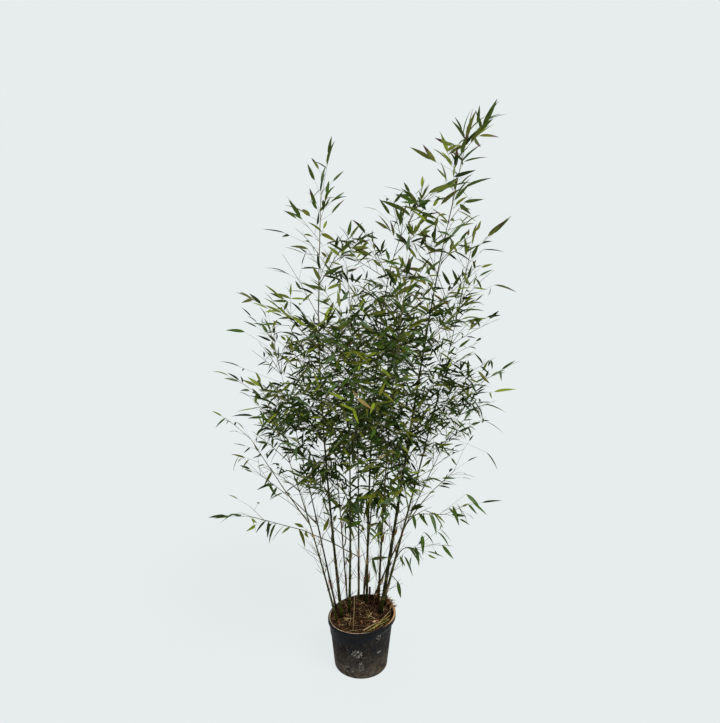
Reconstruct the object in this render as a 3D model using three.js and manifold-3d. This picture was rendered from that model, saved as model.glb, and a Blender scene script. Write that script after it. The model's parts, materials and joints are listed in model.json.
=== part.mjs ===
// Potted bamboo: a clump of twelve canes in a round nursery pot, in millimetres, +Z up.
// The origin is the centre of the pot's flat underside. The camera side of the plant is -Y.
import * as THREE from 'three';
import { mergeVertices } from 'three/addons/utils/BufferGeometryUtils.js';
import Module from 'manifold-3d';

const wasm = await Module();
wasm.setup();

// Driving dimensions, in millimetres. Angles are in degrees.
const GAP = 0.3;
const POT = { height: 212, rim: 140, base: 109, wall: 3.5, floor: 5, facets: 36 };
const LIP = { height: 18, proud: 5, edge: 2 };
const COLLAR = { height: 66, top: 134.5, foot: 130, step: 3 };
const SOIL = { top: 196, flat: 118, dip: 5, clear: 0.5, edge: 128 };
// The soft pot is out of true: above this level, its +X side is drawn up and its -X side sags.
const SLANT = { level: 60, rise: 13 };

// A cane runs from its foot in the soil to its tip. Its bend, a share of the way up, stands off the
// straight line by the bow, along X. The plume is the leafy shoot that goes on from the tip.
const CANE = { sides: 8, internode: 125, tipShare: 0.42, kneeShare: 0.45 };
const CANES = [
  { name: 'left_spire', foot: [-84, -2], tip: [-160, -30, 1660], bend: 0.7, bow: -46, girth: 12, plume: 215 },
  { name: 'right_spire', foot: [78, 20], tip: [316, -34, 1775], bend: 0.86, bow: -16, girth: 14, plume: 290 },
  { name: 'right_second', foot: [88, 74], tip: [392, 108, 1475], bend: 0.8, bow: 14, girth: 10.5, plume: 230 },
  { name: 'arching', foot: [20, 95], tip: [180, 62, 1790], bend: 0.88, bow: -120, girth: 10, plume: 80 },
  { name: 'far_left', foot: [-108, 50], tip: [-330, 110, 1190], bend: 0.7, bow: 10, girth: 8, plume: 170 },
  { name: 'front_left', foot: [-102, -28], tip: [-290, -235, 1030], bend: 0.7, bow: 18, girth: 9, plume: 160 },
  { name: 'front', foot: [-53, 29], tip: [-62, -290, 1300], bend: 0.7, bow: 24, girth: 11, plume: 170 },
  { name: 'back_left', foot: [-62, 96], tip: [-168, 330, 1230], bend: 0.7, bow: 12, girth: 6.5, plume: 130 },
  { name: 'back', foot: [-14, 112], tip: [-50, 360, 1440], bend: 0.7, bow: 26, girth: 9, plume: 150 },
  { name: 'back_right', foot: [6, 115], tip: [142, 340, 1350], bend: 0.7, bow: -24, girth: 8, plume: 140 },
  { name: 'far_right', foot: [42, 106], tip: [410, 150, 1010], bend: 0.7, bow: -16, girth: 7.5, plume: 150 },
  { name: 'front_right', foot: [70, 84], tip: [126, -250, 1400], bend: 0.7, bow: -20, girth: 10, plume: 170 },
];

// A bough is a long side shoot that leaves its cane at a height and arches to its end. Its plume is
// the stem of the mass that it carries.
const BOUGH = { sides: 5, root: 3.2, end: 2, steps: 3 };
const BOUGHS = [
  { name: 'low_left', cane: 'back', height: 380, end: [-365, -60, 635], arch: 20, plume: 85 },
  { name: 'middle_left', cane: 'far_left', height: 560, end: [-345, -40, 775], arch: 10, plume: 85 },
  { name: 'upper_left', cane: 'front_left', height: 660, end: [-405, 20, 880], arch: -6, plume: 85 },
  { name: 'low_right', cane: 'right_second', height: 400, end: [190, -10, 500], arch: 18, plume: 55 },
  { name: 'middle_right', cane: 'right_spire', height: 590, end: [262, -120, 690], arch: 16, plume: 70 },
  { name: 'rear_right', cane: 'far_right', height: 540, end: [340, 150, 715], arch: 12, plume: 80 },
];

// A tier is a ring of side masses round the clump. Spread is the ring's half width and half depth.
const TIERS = [
  { name: 'lowest', height: 610, count: 3, centre: [0, 10], spread: [140, 130], turn: 75 },
  { name: 'low', height: 800, count: 4, centre: [0, 0], spread: [220, 215], turn: 40 },
  { name: 'middle', height: 985, count: 4, centre: [10, 0], spread: [205, 195], turn: 5 },
  { name: 'wide', height: 1105, count: 3, centre: [45, 0], spread: [355, 330], turn: 20 },
  { name: 'high', height: 1310, count: 3, centre: [20, 0], spread: [185, 150], turn: 60 },
  { name: 'reaching', height: 1410, count: 2, centre: [30, 0], spread: [300, 60], turn: 10 },
  { name: 'top', height: 1640, count: 3, centre: [50, 0], spread: [220, 70], turn: -15 },
];

// A mass is one stem with twigs, and a few large leaves that each stand for a spray of small ones.
// A side mass's stem rises from its cane by the least to the most that it runs outwards.
const STEM = { root: 3.6, end: 3, steps: 3, pastHeart: 60, clear: 3 };
const RISE = { least: 0.3, most: 1.8 };
const CHECK = { every: 14, skip: 24 };
const TWIG_COUNT = { plume: 3, bough: 2, side: 5 };
const TWIG = { radius: 1.4, length: 105, first: 0.25, last: 0.9, checks: 10 };
const TWIG_TURN = { golden: 137.5, loose: 40, low: 70, high: 30, sway: 14 };
const LEAF = { length: 122, width: 34, thickness: 4, belly: 0.32, sunk: 0.7, droop: 0.08 };
const LEAF_PLACES = [0.3, 0.65, 1];
const LEAF_TURN = { fan: 46, sway: 16, roll: 75 };
const LEAF_ROOM = { limb: 2.5, leaf: 13, spots: [0.1, 0.22, 0.36, 0.52, 0.68, 0.84, 1] };
const SIZES = { twig: 0.25, leaf: 0.15 };
const LIFT = { low: -0.3, high: 0.45, from: 500, to: 1900 };
const CUTS = [1, 0.8, 0.62];
const SEED = 41;

const COLOURS = {
  pot: { color: 0x2b2c2e, roughness: 0.62, metalness: 0 },
  soil: { color: 0x3a2d22, roughness: 0.95, metalness: 0 },
  cane: { color: 0x6c6a33, roughness: 0.45, metalness: 0 },
  bough: { color: 0x7c7440, roughness: 0.55, metalness: 0 },
  leaf: { color: 0x5d6c3c, roughness: 0.6, metalness: 0 },
};

const UP = new THREE.Vector3(0, 0, 1);
const radians = THREE.MathUtils.degToRad;
const mix = THREE.MathUtils.lerp;
const vector = ([x, y, z]) => new THREE.Vector3(x, y, z);

// Gives the same run of numbers from 0 to 1 for the same seed.
function seeded(seed) {
  let state = Math.imul(seed, 2654435761) >>> 0;
  return () => {
    state = (Math.imul(state, 1664525) + 1013904223) >>> 0;
    return state / 4294967296;
  };
}

function toSolid(geometry) {
  const bare = geometry.clone();
  bare.deleteAttribute('normal');
  bare.deleteAttribute('uv');
  const merged = mergeVertices(bare, 1e-4);
  return new wasm.Manifold(new wasm.Mesh({
    numProp: 3,
    vertProperties: new Float32Array(merged.attributes.position.array),
    triVerts: new Uint32Array(merged.index.array),
  }));
}

function toGeometry(solid) {
  const mesh = solid.getMesh();
  const geometry = new THREE.BufferGeometry();
  geometry.setAttribute('position', new THREE.BufferAttribute(new Float32Array(mesh.vertProperties), 3));
  geometry.setIndex(new THREE.BufferAttribute(new Uint32Array(mesh.triVerts), 1));
  geometry.computeVertexNormals();
  return geometry;
}

// Two directions across a heading: one level, and one on the upper side.
function across(heading, up = UP) {
  const side = new THREE.Vector3().crossVectors(heading, up).normalize();
  const upper = new THREE.Vector3().crossVectors(side, heading).normalize();
  return { side, upper };
}

// A limb is a list of places with a radius at each. Its first corner is on its upper side.
function limbGeometry(places, radii, sides, up = UP) {
  const steps = places.length - 1;
  const geometry = new THREE.CylinderGeometry(1, 1, 1, sides, steps);
  const corners = geometry.attributes.position;
  for (let i = 0; i < corners.count; i++) {
    const step = Math.round((corners.getY(i) + 0.5) * steps);
    const before = places[Math.max(step - 1, 0)];
    const after = places[Math.min(step + 1, steps)];
    const heading = new THREE.Vector3().subVectors(after, before).normalize();
    const { side, upper } = across(heading, up);
    const corner = places[step].clone()
      .addScaledVector(side, corners.getX(i) * radii[step])
      .addScaledVector(upper, corners.getZ(i) * radii[step]);
    corners.setXYZ(i, corner.x, corner.y, corner.z);
  }
  return geometry;
}

const endHeading = (places) => new THREE.Vector3()
  .subVectors(places[places.length - 1], places[places.length - 2]).normalize();

const turnedPoints = (outline) => outline.map(([r, z]) => new THREE.Vector2(r, z));

function potGeometry() {
  const { height, rim, base, wall, floor, facets } = POT;
  const lipFoot = height - LIP.height;
  const collarFoot = height - COLLAR.height;
  const bodyTop = COLLAR.foot - COLLAR.step;
  const outline = [
    [0, 0], [base - 1, 0], [base, 2], [bodyTop, collarFoot - 3], [COLLAR.foot, collarFoot],
    [COLLAR.top, lipFoot], [rim, lipFoot + LIP.edge], [rim, height - LIP.edge], [rim - LIP.edge, height],
    [rim - wall - LIP.proud, height], [COLLAR.top - wall, lipFoot], [COLLAR.foot - wall, collarFoot + 2],
    [bodyTop - wall, collarFoot - 4], [base - wall, floor], [0, floor],
  ];
  return new THREE.LatheGeometry(turnedPoints(outline), facets);
}

function soilGeometry() {
  const inset = POT.wall + SOIL.clear;
  const collarFoot = POT.height - COLLAR.height;
  const outline = [
    [0, POT.floor + GAP], [POT.base - inset, POT.floor + GAP],
    [COLLAR.foot - COLLAR.step - inset, collarFoot - 4], [COLLAR.foot - inset, collarFoot + 3],
    [SOIL.edge, SOIL.top - SOIL.dip], [SOIL.flat, SOIL.top], [0, SOIL.top],
  ];
  return new THREE.LatheGeometry(turnedPoints(outline), POT.facets);
}

// The lathe turns about Y, so the turned pieces are stood up on Z.
function turned(geometry) {
  return geometry.rotateX(Math.PI / 2);
}

// The pot's slant, for every corner below the given height. The soil's own top stays level.
function slanted(geometry, below) {
  const corners = geometry.attributes.position;
  for (let i = 0; i < corners.count; i++) {
    const z = corners.getZ(i);
    const share = Math.max(0, (z - SLANT.level) / (POT.height - SLANT.level));
    if (z < below) corners.setZ(i, z + SLANT.rise * corners.getX(i) / POT.rim * share);
  }
  return geometry;
}

// The places of a cane's rings, from the soil to the tip, with a radius at each.
function caneLimb({ name, foot, tip, bend, bow, girth }) {
  const start = new THREE.Vector3(foot[0], foot[1], SOIL.top + GAP);
  const end = vector(tip);
  const shoulder = start.clone().lerp(end, bend).add(new THREE.Vector3(bow, 0, 0));
  const knee = start.clone().lerp(shoulder, CANE.kneeShare);
  const curve = new THREE.CubicBezierCurve3(start, knee, shoulder, end);
  const steps = Math.round(start.distanceTo(end) / CANE.internode);
  const places = [];
  const radii = [];
  for (let i = 0; i <= steps; i++) {
    places.push(curve.getPoint(i / steps));
    radii.push(girth / 2 * mix(1, CANE.tipShare, i / steps));
  }
  return { name: `cane_${name}`, places, radii };
}

function caneGeometry(cane) {
  const geometry = limbGeometry(cane.places, cane.radii, CANE.sides, new THREE.Vector3(0, 1, 0));
  const corners = geometry.attributes.position;
  const soilLevel = cane.places[0].z;
  for (let i = 0; i < corners.count; i++) {
    if (corners.getZ(i) < soilLevel + CANE.internode / 2) corners.setZ(i, soilLevel);
  }
  return geometry;
}

// The point on a limb at a height, with the limb's radius and heading there.
function pointAtHeight(limb, height) {
  const { places, radii } = limb;
  const step = Math.max(1, places.findIndex((place) => place.z >= height));
  const share = (height - places[step - 1].z) / (places[step].z - places[step - 1].z);
  return {
    place: places[step - 1].clone().lerp(places[step], share),
    radius: mix(radii[step - 1], radii[step], share),
    along: new THREE.Vector3().subVectors(places[step], places[step - 1]).normalize(),
  };
}

// Where a shoot of this radius starts, so that its upper corner is just clear of the limb it leaves.
function shootStart(node, heading, radius) {
  const lean = node.along.angleTo(heading);
  const run = (node.radius + GAP + radius * Math.cos(lean)) / Math.sin(lean);
  return node.place.clone().addScaledVector(heading, run);
}

// A shoot's places, from start to end on a shallow arch.
function archPlaces(start, end, arch, steps) {
  const places = [];
  for (let i = 0; i <= steps; i++) {
    const share = i / steps;
    const place = start.clone().lerp(end, share);
    place.z += arch * 4 * share * (1 - share);
    places.push(place);
  }
  return places;
}

function taper(root, end, steps) {
  return Array.from({ length: steps + 1 }, (_, i) => mix(root, end, i / steps));
}

function boughLimb({ name, cane, height, end, arch }, canes) {
  const parent = canes.find((limb) => limb.name === `cane_${cane}`);
  const node = pointAtHeight(parent, height);
  const heading = vector(end).sub(node.place);
  heading.z += arch * 4 * (1 - 1 / BOUGH.steps);
  heading.normalize();
  const start = shootStart(node, heading, BOUGH.root);
  const places = archPlaces(start, vector(end), arch, BOUGH.steps);
  return { name: `bough_${name}`, places, radii: taper(BOUGH.root, BOUGH.end, BOUGH.steps), up: node.along };
}

// How far a point is from a limb's surface.
function distanceToLimb(point, limb) {
  const { places, radii } = limb;
  let least = Infinity;
  const nearest = new THREE.Vector3();
  for (let i = 0; i + 1 < places.length; i++) {
    const line = new THREE.Line3(places[i], places[i + 1]);
    const share = line.closestPointToPointParameter(point, true);
    line.at(share, nearest);
    least = Math.min(least, nearest.distanceTo(point) - mix(radii[i], radii[i + 1], share));
  }
  return least;
}

const clearOf = (point, limbs, room) => limbs.every((limb) => distanceToLimb(point, limb) >= room);

// The leafy shoot that goes on from the end of a cane or a bough.
function plumeMass(limb, length, twigs) {
  const heading = endHeading(limb.places);
  const start = limb.places[limb.places.length - 1].clone().addScaledVector(heading, GAP);
  const end = start.clone().addScaledVector(heading, length);
  return {
    name: limb.name.replace(/^cane|^bough/, 'foliage'),
    twigs,
    heart: start.clone().lerp(end, 0.6),
    up: across(heading).upper,
    places: archPlaces(start, end, 0, STEM.steps),
    radii: taper(Math.min(STEM.root, limb.radii[limb.radii.length - 1]), STEM.end, STEM.steps),
  };
}

function tierHearts() {
  return TIERS.flatMap(({ name, height, count, centre, spread, turn }) => (
    Array.from({ length: count }, (_, i) => {
      const angle = radians(turn + 360 * i / count);
      const x = centre[0] + spread[0] * Math.cos(angle);
      const y = centre[1] + spread[1] * Math.sin(angle);
      return { name: `foliage_${name}_${i + 1}`, heart: new THREE.Vector3(x, y, height) };
    })));
}

// The side shoot to a heart leaves the nearest cane ring that it can rise from clear of every limb.
function sideMass({ name, heart }, canes, limbs) {
  const rings = canes.flatMap((cane) => cane.places.slice(1, -1).map((place) => ({ cane, place })));
  rings.sort((a, b) => a.place.distanceTo(heart) - b.place.distanceTo(heart));
  for (const { cane, place } of rings) {
    const node = pointAtHeight(cane, place.z - 0.01);
    const heading = new THREE.Vector3().subVectors(heart, node.place);
    const rise = heading.z / Math.hypot(heading.x, heading.y);
    if (rise < RISE.least || rise > RISE.most) continue;
    heading.normalize();
    const start = shootStart(node, heading, STEM.root);
    const end = heart.clone().addScaledVector(heading, STEM.pastHeart);
    const shoot = archPlaces(start, end, 0, STEM.steps);
    const length = start.distanceTo(end);
    let clear = true;
    for (let run = 0; run <= length; run += CHECK.every) {
      const point = start.clone().lerp(end, run / length);
      const near = run < CHECK.skip ? limbs.filter((limb) => limb !== cane) : limbs;
      clear = clear && clearOf(point, near, STEM.root + STEM.clear);
      if (run > 0) clear = clear && distanceToLimb(point, cane) > STEM.root + 1;
    }
    if (!clear) continue;
    const radii = taper(STEM.root, STEM.end, STEM.steps);
    return { name, heart, twigs: TWIG_COUNT.side, up: node.along, places: shoot, radii };
  }
  throw new Error(`no cane carries ${name}`);
}

// A mass keeps to the part of the crown that is nearer to its heart than to any other.
function insideSpace(point, mass, masses) {
  return masses.every((other) => {
    if (other === mass) return true;
    const apart = new THREE.Vector3().subVectors(other.heart, mass.heart);
    const middle = mass.heart.clone().lerp(other.heart, 0.5);
    return point.clone().sub(middle).dot(apart) / apart.length() < -GAP;
  });
}

// The root, tip and two edges of a leaf, rolled about its heading, with its thickness direction.
function leafShape(root, heading, roll, length) {
  const level = across(heading);
  const side = level.side.clone().multiplyScalar(Math.cos(roll)).addScaledVector(level.upper, Math.sin(roll));
  const upper = new THREE.Vector3().crossVectors(side, heading);
  const width = LEAF.width * Math.sqrt(length / LEAF.length);
  const belly = root.clone().addScaledVector(heading, length * LEAF.belly);
  return {
    root,
    tip: root.clone().addScaledVector(heading, length).addScaledVector(UP, -LEAF.droop * length),
    belly,
    left: belly.clone().addScaledVector(side, -width / 2),
    right: belly.clone().addScaledVector(side, width / 2),
    upper,
    width,
  };
}

// Whether two leaves of one mass stand apart, which keeps them from crossing.
function leavesApart(one, two) {
  const spots = (leaf) => [leaf.belly, leaf.belly.clone().lerp(leaf.tip, 0.5), leaf.tip];
  const near = (leaf, other) => spots(leaf).some((point) => (
    new THREE.Line3(other.root, other.tip).closestPointToPoint(point, true, new THREE.Vector3())
      .distanceTo(point) < LEAF_ROOM.leaf));
  return !near(one, two) && !near(two, one);
}

// Half the width of a leaf at a share of its length.
function halfWidth(leaf, share) {
  const part = share < LEAF.belly ? share / LEAF.belly : (1 - share) / (1 - LEAF.belly);
  return leaf.width / 2 * part;
}

function leafFits(leaf, mass, masses, limbs, shoots, leaves) {
  if (![leaf.tip, leaf.left, leaf.right, leaf.root].every((point) => insideSpace(point, mass, masses))) {
    return false;
  }
  return LEAF_ROOM.spots.every((share) => {
    const spot = leaf.root.clone().lerp(leaf.tip, share);
    const near = share < LEAF.belly ? limbs : [...limbs, ...shoots];
    return clearOf(spot, near, halfWidth(leaf, share) + LEAF_ROOM.limb);
  }) && leaves.every((other) => leavesApart(leaf, other));
}

// The twigs turn round the stem and open less towards its end. A twig that would leave the mass's
// space or touch a limb is cut back, or left out.
function growTwigs(mass, masses, limbs, random) {
  const twigs = [];
  const stemStart = mass.places[0];
  const stemEnd = mass.places[mass.places.length - 1];
  const stemHeading = endHeading(mass.places);
  const { side, upper } = across(stemHeading);
  for (let k = 0; k < mass.twigs; k++) {
    const share = mix(TWIG.first, TWIG.last, k / (mass.twigs - 1));
    const turn = radians(TWIG_TURN.golden * k + TWIG_TURN.loose * random());
    const open = radians(mix(TWIG_TURN.low, TWIG_TURN.high, share) + TWIG_TURN.sway * (random() - 0.5));
    const length = TWIG.length * mix(1 - SIZES.twig, 1 + SIZES.twig, random());
    const root = stemStart.clone().lerp(stemEnd, share);
    const heading = stemHeading.clone().multiplyScalar(Math.cos(open))
      .addScaledVector(side, Math.sin(open) * Math.cos(turn))
      .addScaledVector(upper, Math.sin(open) * Math.sin(turn));
    const cut = CUTS.find((part) => {
      const end = root.clone().addScaledVector(heading, length * part);
      const fits = (point) => insideSpace(point, mass, masses) && clearOf(point, limbs, TWIG.radius + 1);
      return archPlaces(root, end, 0, TWIG.checks).every(fits);
    });
    if (cut) {
      const end = root.clone().addScaledVector(heading, length * cut);
      twigs.push({ places: [root, end], radii: [TWIG.radius, TWIG.radius] });
    }
  }
  return twigs;
}

// Leaves stand by turns on the left and right of a shoot, and one goes on from its end. A leaf that
// would leave the space, or touch a limb or another leaf, is cut back, or left out.
function growLeaves(mass, masses, limbs, twigs, random) {
  const leaves = [];
  const lift = mix(LIFT.low, LIFT.high, (mass.heart.z - LIFT.from) / (LIFT.to - LIFT.from));
  const shoots = [mass, ...twigs];
  for (const shoot of shoots) {
    const start = shoot.places[0].clone();
    const end = shoot.places[shoot.places.length - 1];
    const heading = new THREE.Vector3().subVectors(end, start).normalize();
    const { side } = across(heading);
    LEAF_PLACES.forEach((share, i) => {
      const size = mix(1 - SIZES.leaf, 1 + SIZES.leaf, random());
      const turn = share === 1 ? 0 : LEAF_TURN.fan * (i % 2 ? 1 : -1);
      const swing = radians(turn + LEAF_TURN.sway * (random() - 0.5));
      const roll = radians(LEAF_TURN.roll * (2 * random() - 1));
      const direction = heading.clone().multiplyScalar(Math.cos(swing))
        .addScaledVector(side, Math.sin(swing)).addScaledVector(UP, lift).normalize();
      const root = start.clone().lerp(end, share).addScaledVector(direction, -LEAF.sunk);
      for (const cut of CUTS) {
        const leaf = leafShape(root, direction, roll, LEAF.length * size * cut);
        if (leafFits(leaf, mass, masses, limbs, shoots, leaves)) {
          leaves.push(leaf);
          break;
        }
      }
    });
  }
  return leaves;
}

// One leaf: an octahedron drawn out to root, tip and two edges.
function leafGeometry(leaf) {
  const geometry = new THREE.OctahedronGeometry(1);
  const corners = geometry.attributes.position;
  const depth = LEAF.thickness / 2;
  for (let i = 0; i < corners.count; i++) {
    const [x, y, z] = [corners.getX(i), corners.getY(i), corners.getZ(i)];
    let corner = leaf.belly.clone().addScaledVector(leaf.upper, depth * z);
    if (x > 0.5) corner = leaf.tip;
    if (x < -0.5) corner = leaf.root;
    if (y > 0.5) corner = leaf.left;
    if (y < -0.5) corner = leaf.right;
    corners.setXYZ(i, corner.x, corner.y, corner.z);
  }
  return geometry;
}

// The stem, twigs and leaves fused into one body. A scrap that touches nothing is dropped.
function massGeometry(mass, twigs, leaves) {
  let body = toSolid(limbGeometry(mass.places, mass.radii, 3, mass.up));
  for (const twig of twigs) body = body.add(toSolid(limbGeometry(twig.places, twig.radii, 3)));
  for (const leaf of leaves) body = body.add(toSolid(leafGeometry(leaf)));
  const bodies = body.decompose().sort((a, b) => b.volume() - a.volume());
  return toGeometry(bodies[0]);
}

const plant = new THREE.Group();

function addNode(name, geometry, finish) {
  const mesh = new THREE.Mesh(geometry, new THREE.MeshStandardMaterial(finish));
  mesh.name = name;
  plant.add(mesh);
}

addNode('pot', slanted(turned(potGeometry()), Infinity), COLOURS.pot);
addNode('soil', slanted(turned(soilGeometry()), SOIL.top - SOIL.dip - 1), COLOURS.soil);

const canes = CANES.map(caneLimb);
for (const cane of canes) addNode(cane.name, caneGeometry(cane), COLOURS.cane);

const boughs = BOUGHS.map((row) => boughLimb(row, canes));
for (const bough of boughs) {
  addNode(bough.name, limbGeometry(bough.places, bough.radii, BOUGH.sides, bough.up), COLOURS.bough);
}

const masses = [
  ...canes.map((cane, i) => plumeMass(cane, CANES[i].plume, TWIG_COUNT.plume)),
  ...boughs.map((bough, i) => plumeMass(bough, BOUGHS[i].plume, TWIG_COUNT.bough)),
];
for (const place of tierHearts()) {
  masses.push(sideMass(place, canes, [...canes, ...boughs, ...masses]));
}
masses.forEach((mass, index) => {
  const random = seeded(SEED + index);
  const limbs = [...canes, ...boughs, ...masses.filter((other) => other !== mass)];
  const twigs = growTwigs(mass, masses, limbs, random);
  const leaves = growLeaves(mass, masses, limbs, twigs, random);
  addNode(mass.name, massGeometry(mass, twigs, leaves), COLOURS.leaf);
});

export default plant;
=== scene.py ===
# %% [markdown]
# # A potted bamboo, grown by rule
# This lesson dresses a imported CAD model of a potted bamboo. The CAD model holds the pot, the soil,
# twelve canes, six long low shoots and forty masses of foliage, all plain and faceted. Here each of
# them gets the look of the real plant. Blender reads the model as a fixed frame, so every new piece
# is made where the CAD says, in the same axes. The frame's own box is kept at once, and leaves that
# would stand outside it are left out later.

import json
import math
from dataclasses import dataclass, field

import bpy
import numpy as np
from mathutils import Euler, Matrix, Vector, noise

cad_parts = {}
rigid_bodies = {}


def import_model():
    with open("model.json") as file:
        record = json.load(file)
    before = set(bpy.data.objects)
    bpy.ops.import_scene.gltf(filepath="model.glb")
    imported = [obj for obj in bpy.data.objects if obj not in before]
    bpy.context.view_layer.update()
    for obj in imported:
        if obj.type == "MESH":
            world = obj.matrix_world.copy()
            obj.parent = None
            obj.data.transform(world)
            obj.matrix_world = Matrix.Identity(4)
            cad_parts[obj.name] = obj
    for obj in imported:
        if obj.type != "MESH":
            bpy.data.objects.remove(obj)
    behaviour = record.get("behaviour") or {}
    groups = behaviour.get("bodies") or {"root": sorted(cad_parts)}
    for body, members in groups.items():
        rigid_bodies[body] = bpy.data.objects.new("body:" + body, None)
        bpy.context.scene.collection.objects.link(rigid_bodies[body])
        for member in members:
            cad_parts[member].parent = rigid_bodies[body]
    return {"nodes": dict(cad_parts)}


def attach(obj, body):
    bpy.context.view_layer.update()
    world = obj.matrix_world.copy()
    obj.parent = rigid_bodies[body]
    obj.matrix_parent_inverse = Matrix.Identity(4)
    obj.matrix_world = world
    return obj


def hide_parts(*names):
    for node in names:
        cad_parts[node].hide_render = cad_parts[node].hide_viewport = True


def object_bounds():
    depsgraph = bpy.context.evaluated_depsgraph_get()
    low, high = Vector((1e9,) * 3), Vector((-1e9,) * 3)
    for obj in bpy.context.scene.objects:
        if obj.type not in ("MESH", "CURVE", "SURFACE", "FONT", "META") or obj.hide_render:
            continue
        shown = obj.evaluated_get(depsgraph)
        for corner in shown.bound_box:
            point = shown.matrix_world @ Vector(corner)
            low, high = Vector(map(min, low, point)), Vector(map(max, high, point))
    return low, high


for leftover in list(bpy.data.objects):
    bpy.data.objects.remove(leftover)
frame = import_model()
cad_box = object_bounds()
print("nodes in the frame:", len(frame["nodes"]))

# %% [markdown]
# ## Camera
# The photograph was taken from about head height, two metres in front of the pot, looking a little
# down. The place, the tilt and the lens were worked out from the two ellipses of the pot, its rim
# and its base. A lens is given in millimetres on a sensor, so the focal length in pixels is turned
# into millimetres by the picture's longer side.

# %% Set up the camera
PICTURE_WIDTH = 720
PICTURE_HEIGHT = 723
SENSOR = 36.0
FOCAL_PIXELS = 534.54
CAMERA_PLACE = (-0.0083, -2.0546, 1.52)
CAMERA_DOWN = 7.286

camera_data = bpy.data.cameras.new("camera")
camera_data.sensor_width = SENSOR
camera_data.lens = FOCAL_PIXELS * SENSOR / PICTURE_HEIGHT
camera = bpy.data.objects.new("camera", camera_data)
camera.location = CAMERA_PLACE
camera.rotation_euler = Euler((math.radians(90 - CAMERA_DOWN), 0, 0))
bpy.context.scene.collection.objects.link(camera)
bpy.context.scene.camera = camera
print("lens in millimetres:", round(camera_data.lens, 2))

# %% [markdown]
# ## Light and backdrop
# The photograph is lit softly from all round, a little more from above and the right, in front of a
# plain pale backdrop. A white sky does the first part, and a wide sun the second. The camera sees
# the backdrop colour in place of the sky: the Light Path node tells the two apart. The floor glows
# in most of the backdrop colour and leaves only the rest to the light. So no line shows between
# them, and the plant's shadow stays as faint as in the photograph.

# %% Colours as they are read off a screen
def linear(red, green, blue):
    """A screen colour, 0 to 255 for each part, as the light values that shaders use."""
    parts = [part / 255 for part in (red, green, blue)]
    return tuple(p / 12.92 if p <= 0.04045 else ((p + 0.055) / 1.055) ** 2.4 for p in parts)


def rgba(red, green, blue):
    """The same, with the fourth value that a colour socket takes."""
    return (*linear(red, green, blue), 1.0)


BACKDROP = (231, 237, 237)
print("backdrop:", [round(part, 3) for part in linear(*BACKDROP)])

# %% Light the scene
SKY_STRENGTH = 0.6
SUN_STRENGTH = 2.7
SUN_WIDTH = 28
SUN_FROM = Vector((0.5, -0.55, 1.0)).normalized()

world = bpy.data.worlds.new("studio")
world.use_nodes = True
bpy.context.scene.world = world
world_nodes = world.node_tree.nodes
sky = world_nodes["Background"]
sky.inputs["Color"].default_value = (1.0, 1.0, 1.0, 1.0)
sky.inputs["Strength"].default_value = SKY_STRENGTH
backdrop = world_nodes.new("ShaderNodeBackground")
backdrop.inputs["Color"].default_value = rgba(*BACKDROP)
seen_or_lit = world_nodes.new("ShaderNodeMixShader")
light_path = world_nodes.new("ShaderNodeLightPath")
world.node_tree.links.new(light_path.outputs["Is Camera Ray"], seen_or_lit.inputs[0])
world.node_tree.links.new(sky.outputs[0], seen_or_lit.inputs[1])
world.node_tree.links.new(backdrop.outputs[0], seen_or_lit.inputs[2])
world.node_tree.links.new(seen_or_lit.outputs[0], world_nodes["World Output"].inputs["Surface"])

sun_data = bpy.data.lights.new("sun", "SUN")
sun_data.energy = SUN_STRENGTH
sun_data.angle = math.radians(SUN_WIDTH)
sun = bpy.data.objects.new("sun", sun_data)
sun.rotation_euler = SUN_FROM.to_track_quat("Z", "Y").to_euler()
bpy.context.scene.collection.objects.link(sun)
bpy.context.scene.view_settings.view_transform = "Standard"
print("sun stands", round(math.degrees(math.asin(SUN_FROM.z))), "degrees up")

# %% Lay the floor
FLOOR_HALF = 30.0
FLOOR_DROP = 0.0005
GLOW = 0.92

level_light = SKY_STRENGTH + SUN_STRENGTH * SUN_FROM.z / math.pi
floor_mesh = bpy.data.meshes.new("floor")
floor_corners = [(x * FLOOR_HALF, y * FLOOR_HALF, 0) for x, y in ((-1, -1), (1, -1), (1, 1), (-1, 1))]
floor_mesh.from_pydata(floor_corners, [], [(0, 1, 2, 3)])
floor = bpy.data.objects.new("floor", floor_mesh)
floor.location.z = -FLOOR_DROP
bpy.context.scene.collection.objects.link(floor)
floor_paint = bpy.data.materials.new("pale_floor")
floor_paint.use_nodes = True
floor_shader = floor_paint.node_tree.nodes["Principled BSDF"]
lit_share = (1 - GLOW) / level_light
floor_shader.inputs["Base Color"].default_value = (*(part * lit_share for part in linear(*BACKDROP)), 1.0)
floor_shader.inputs["Emission Color"].default_value = rgba(*BACKDROP)
floor_shader.inputs["Emission Strength"].default_value = GLOW
floor_shader.inputs["Roughness"].default_value = 1.0
floor_shader.inputs["Specular IOR Level"].default_value = 0.0
floor_mesh.materials.append(floor_paint)
print("floor colour under the glow:", [round(part * lit_share, 4) for part in linear(*BACKDROP)])

# %% [markdown]
# ## The rule that the plant grows by
# A bamboo has no trunk and no forks. Canes rise from one clump, and every side shoot leaves a cane
# at a ring, at a sharp angle. The CAD model grew its plant by such a rule, from a few rows of sizes
# and a seeded run of random numbers. To put fine twigs and leaves in the same places, the rule is
# written again here with the same sizes and seeds, in millimetres as in its source, and carried on
# to finer parts. Reading the places off the CAD mesh would be another way, but a rule can be read
# and changed.

# %% Sizes of the canes
MM = 0.001
UP = np.array((0.0, 0.0, 1.0))
BACK = np.array((0.0, 1.0, 0.0))
GAP = 0.3
SOIL_TOP = 196
CANE_INTERNODE = 125
CANE_TIP_SHARE = 0.42
CANE_KNEE_SHARE = 0.45
SLIM_TIP = 0.42
SLIM_POWER = 1.5
FOOT_STOUT = 1.14
FOOT_SHARE = 0.25


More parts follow.
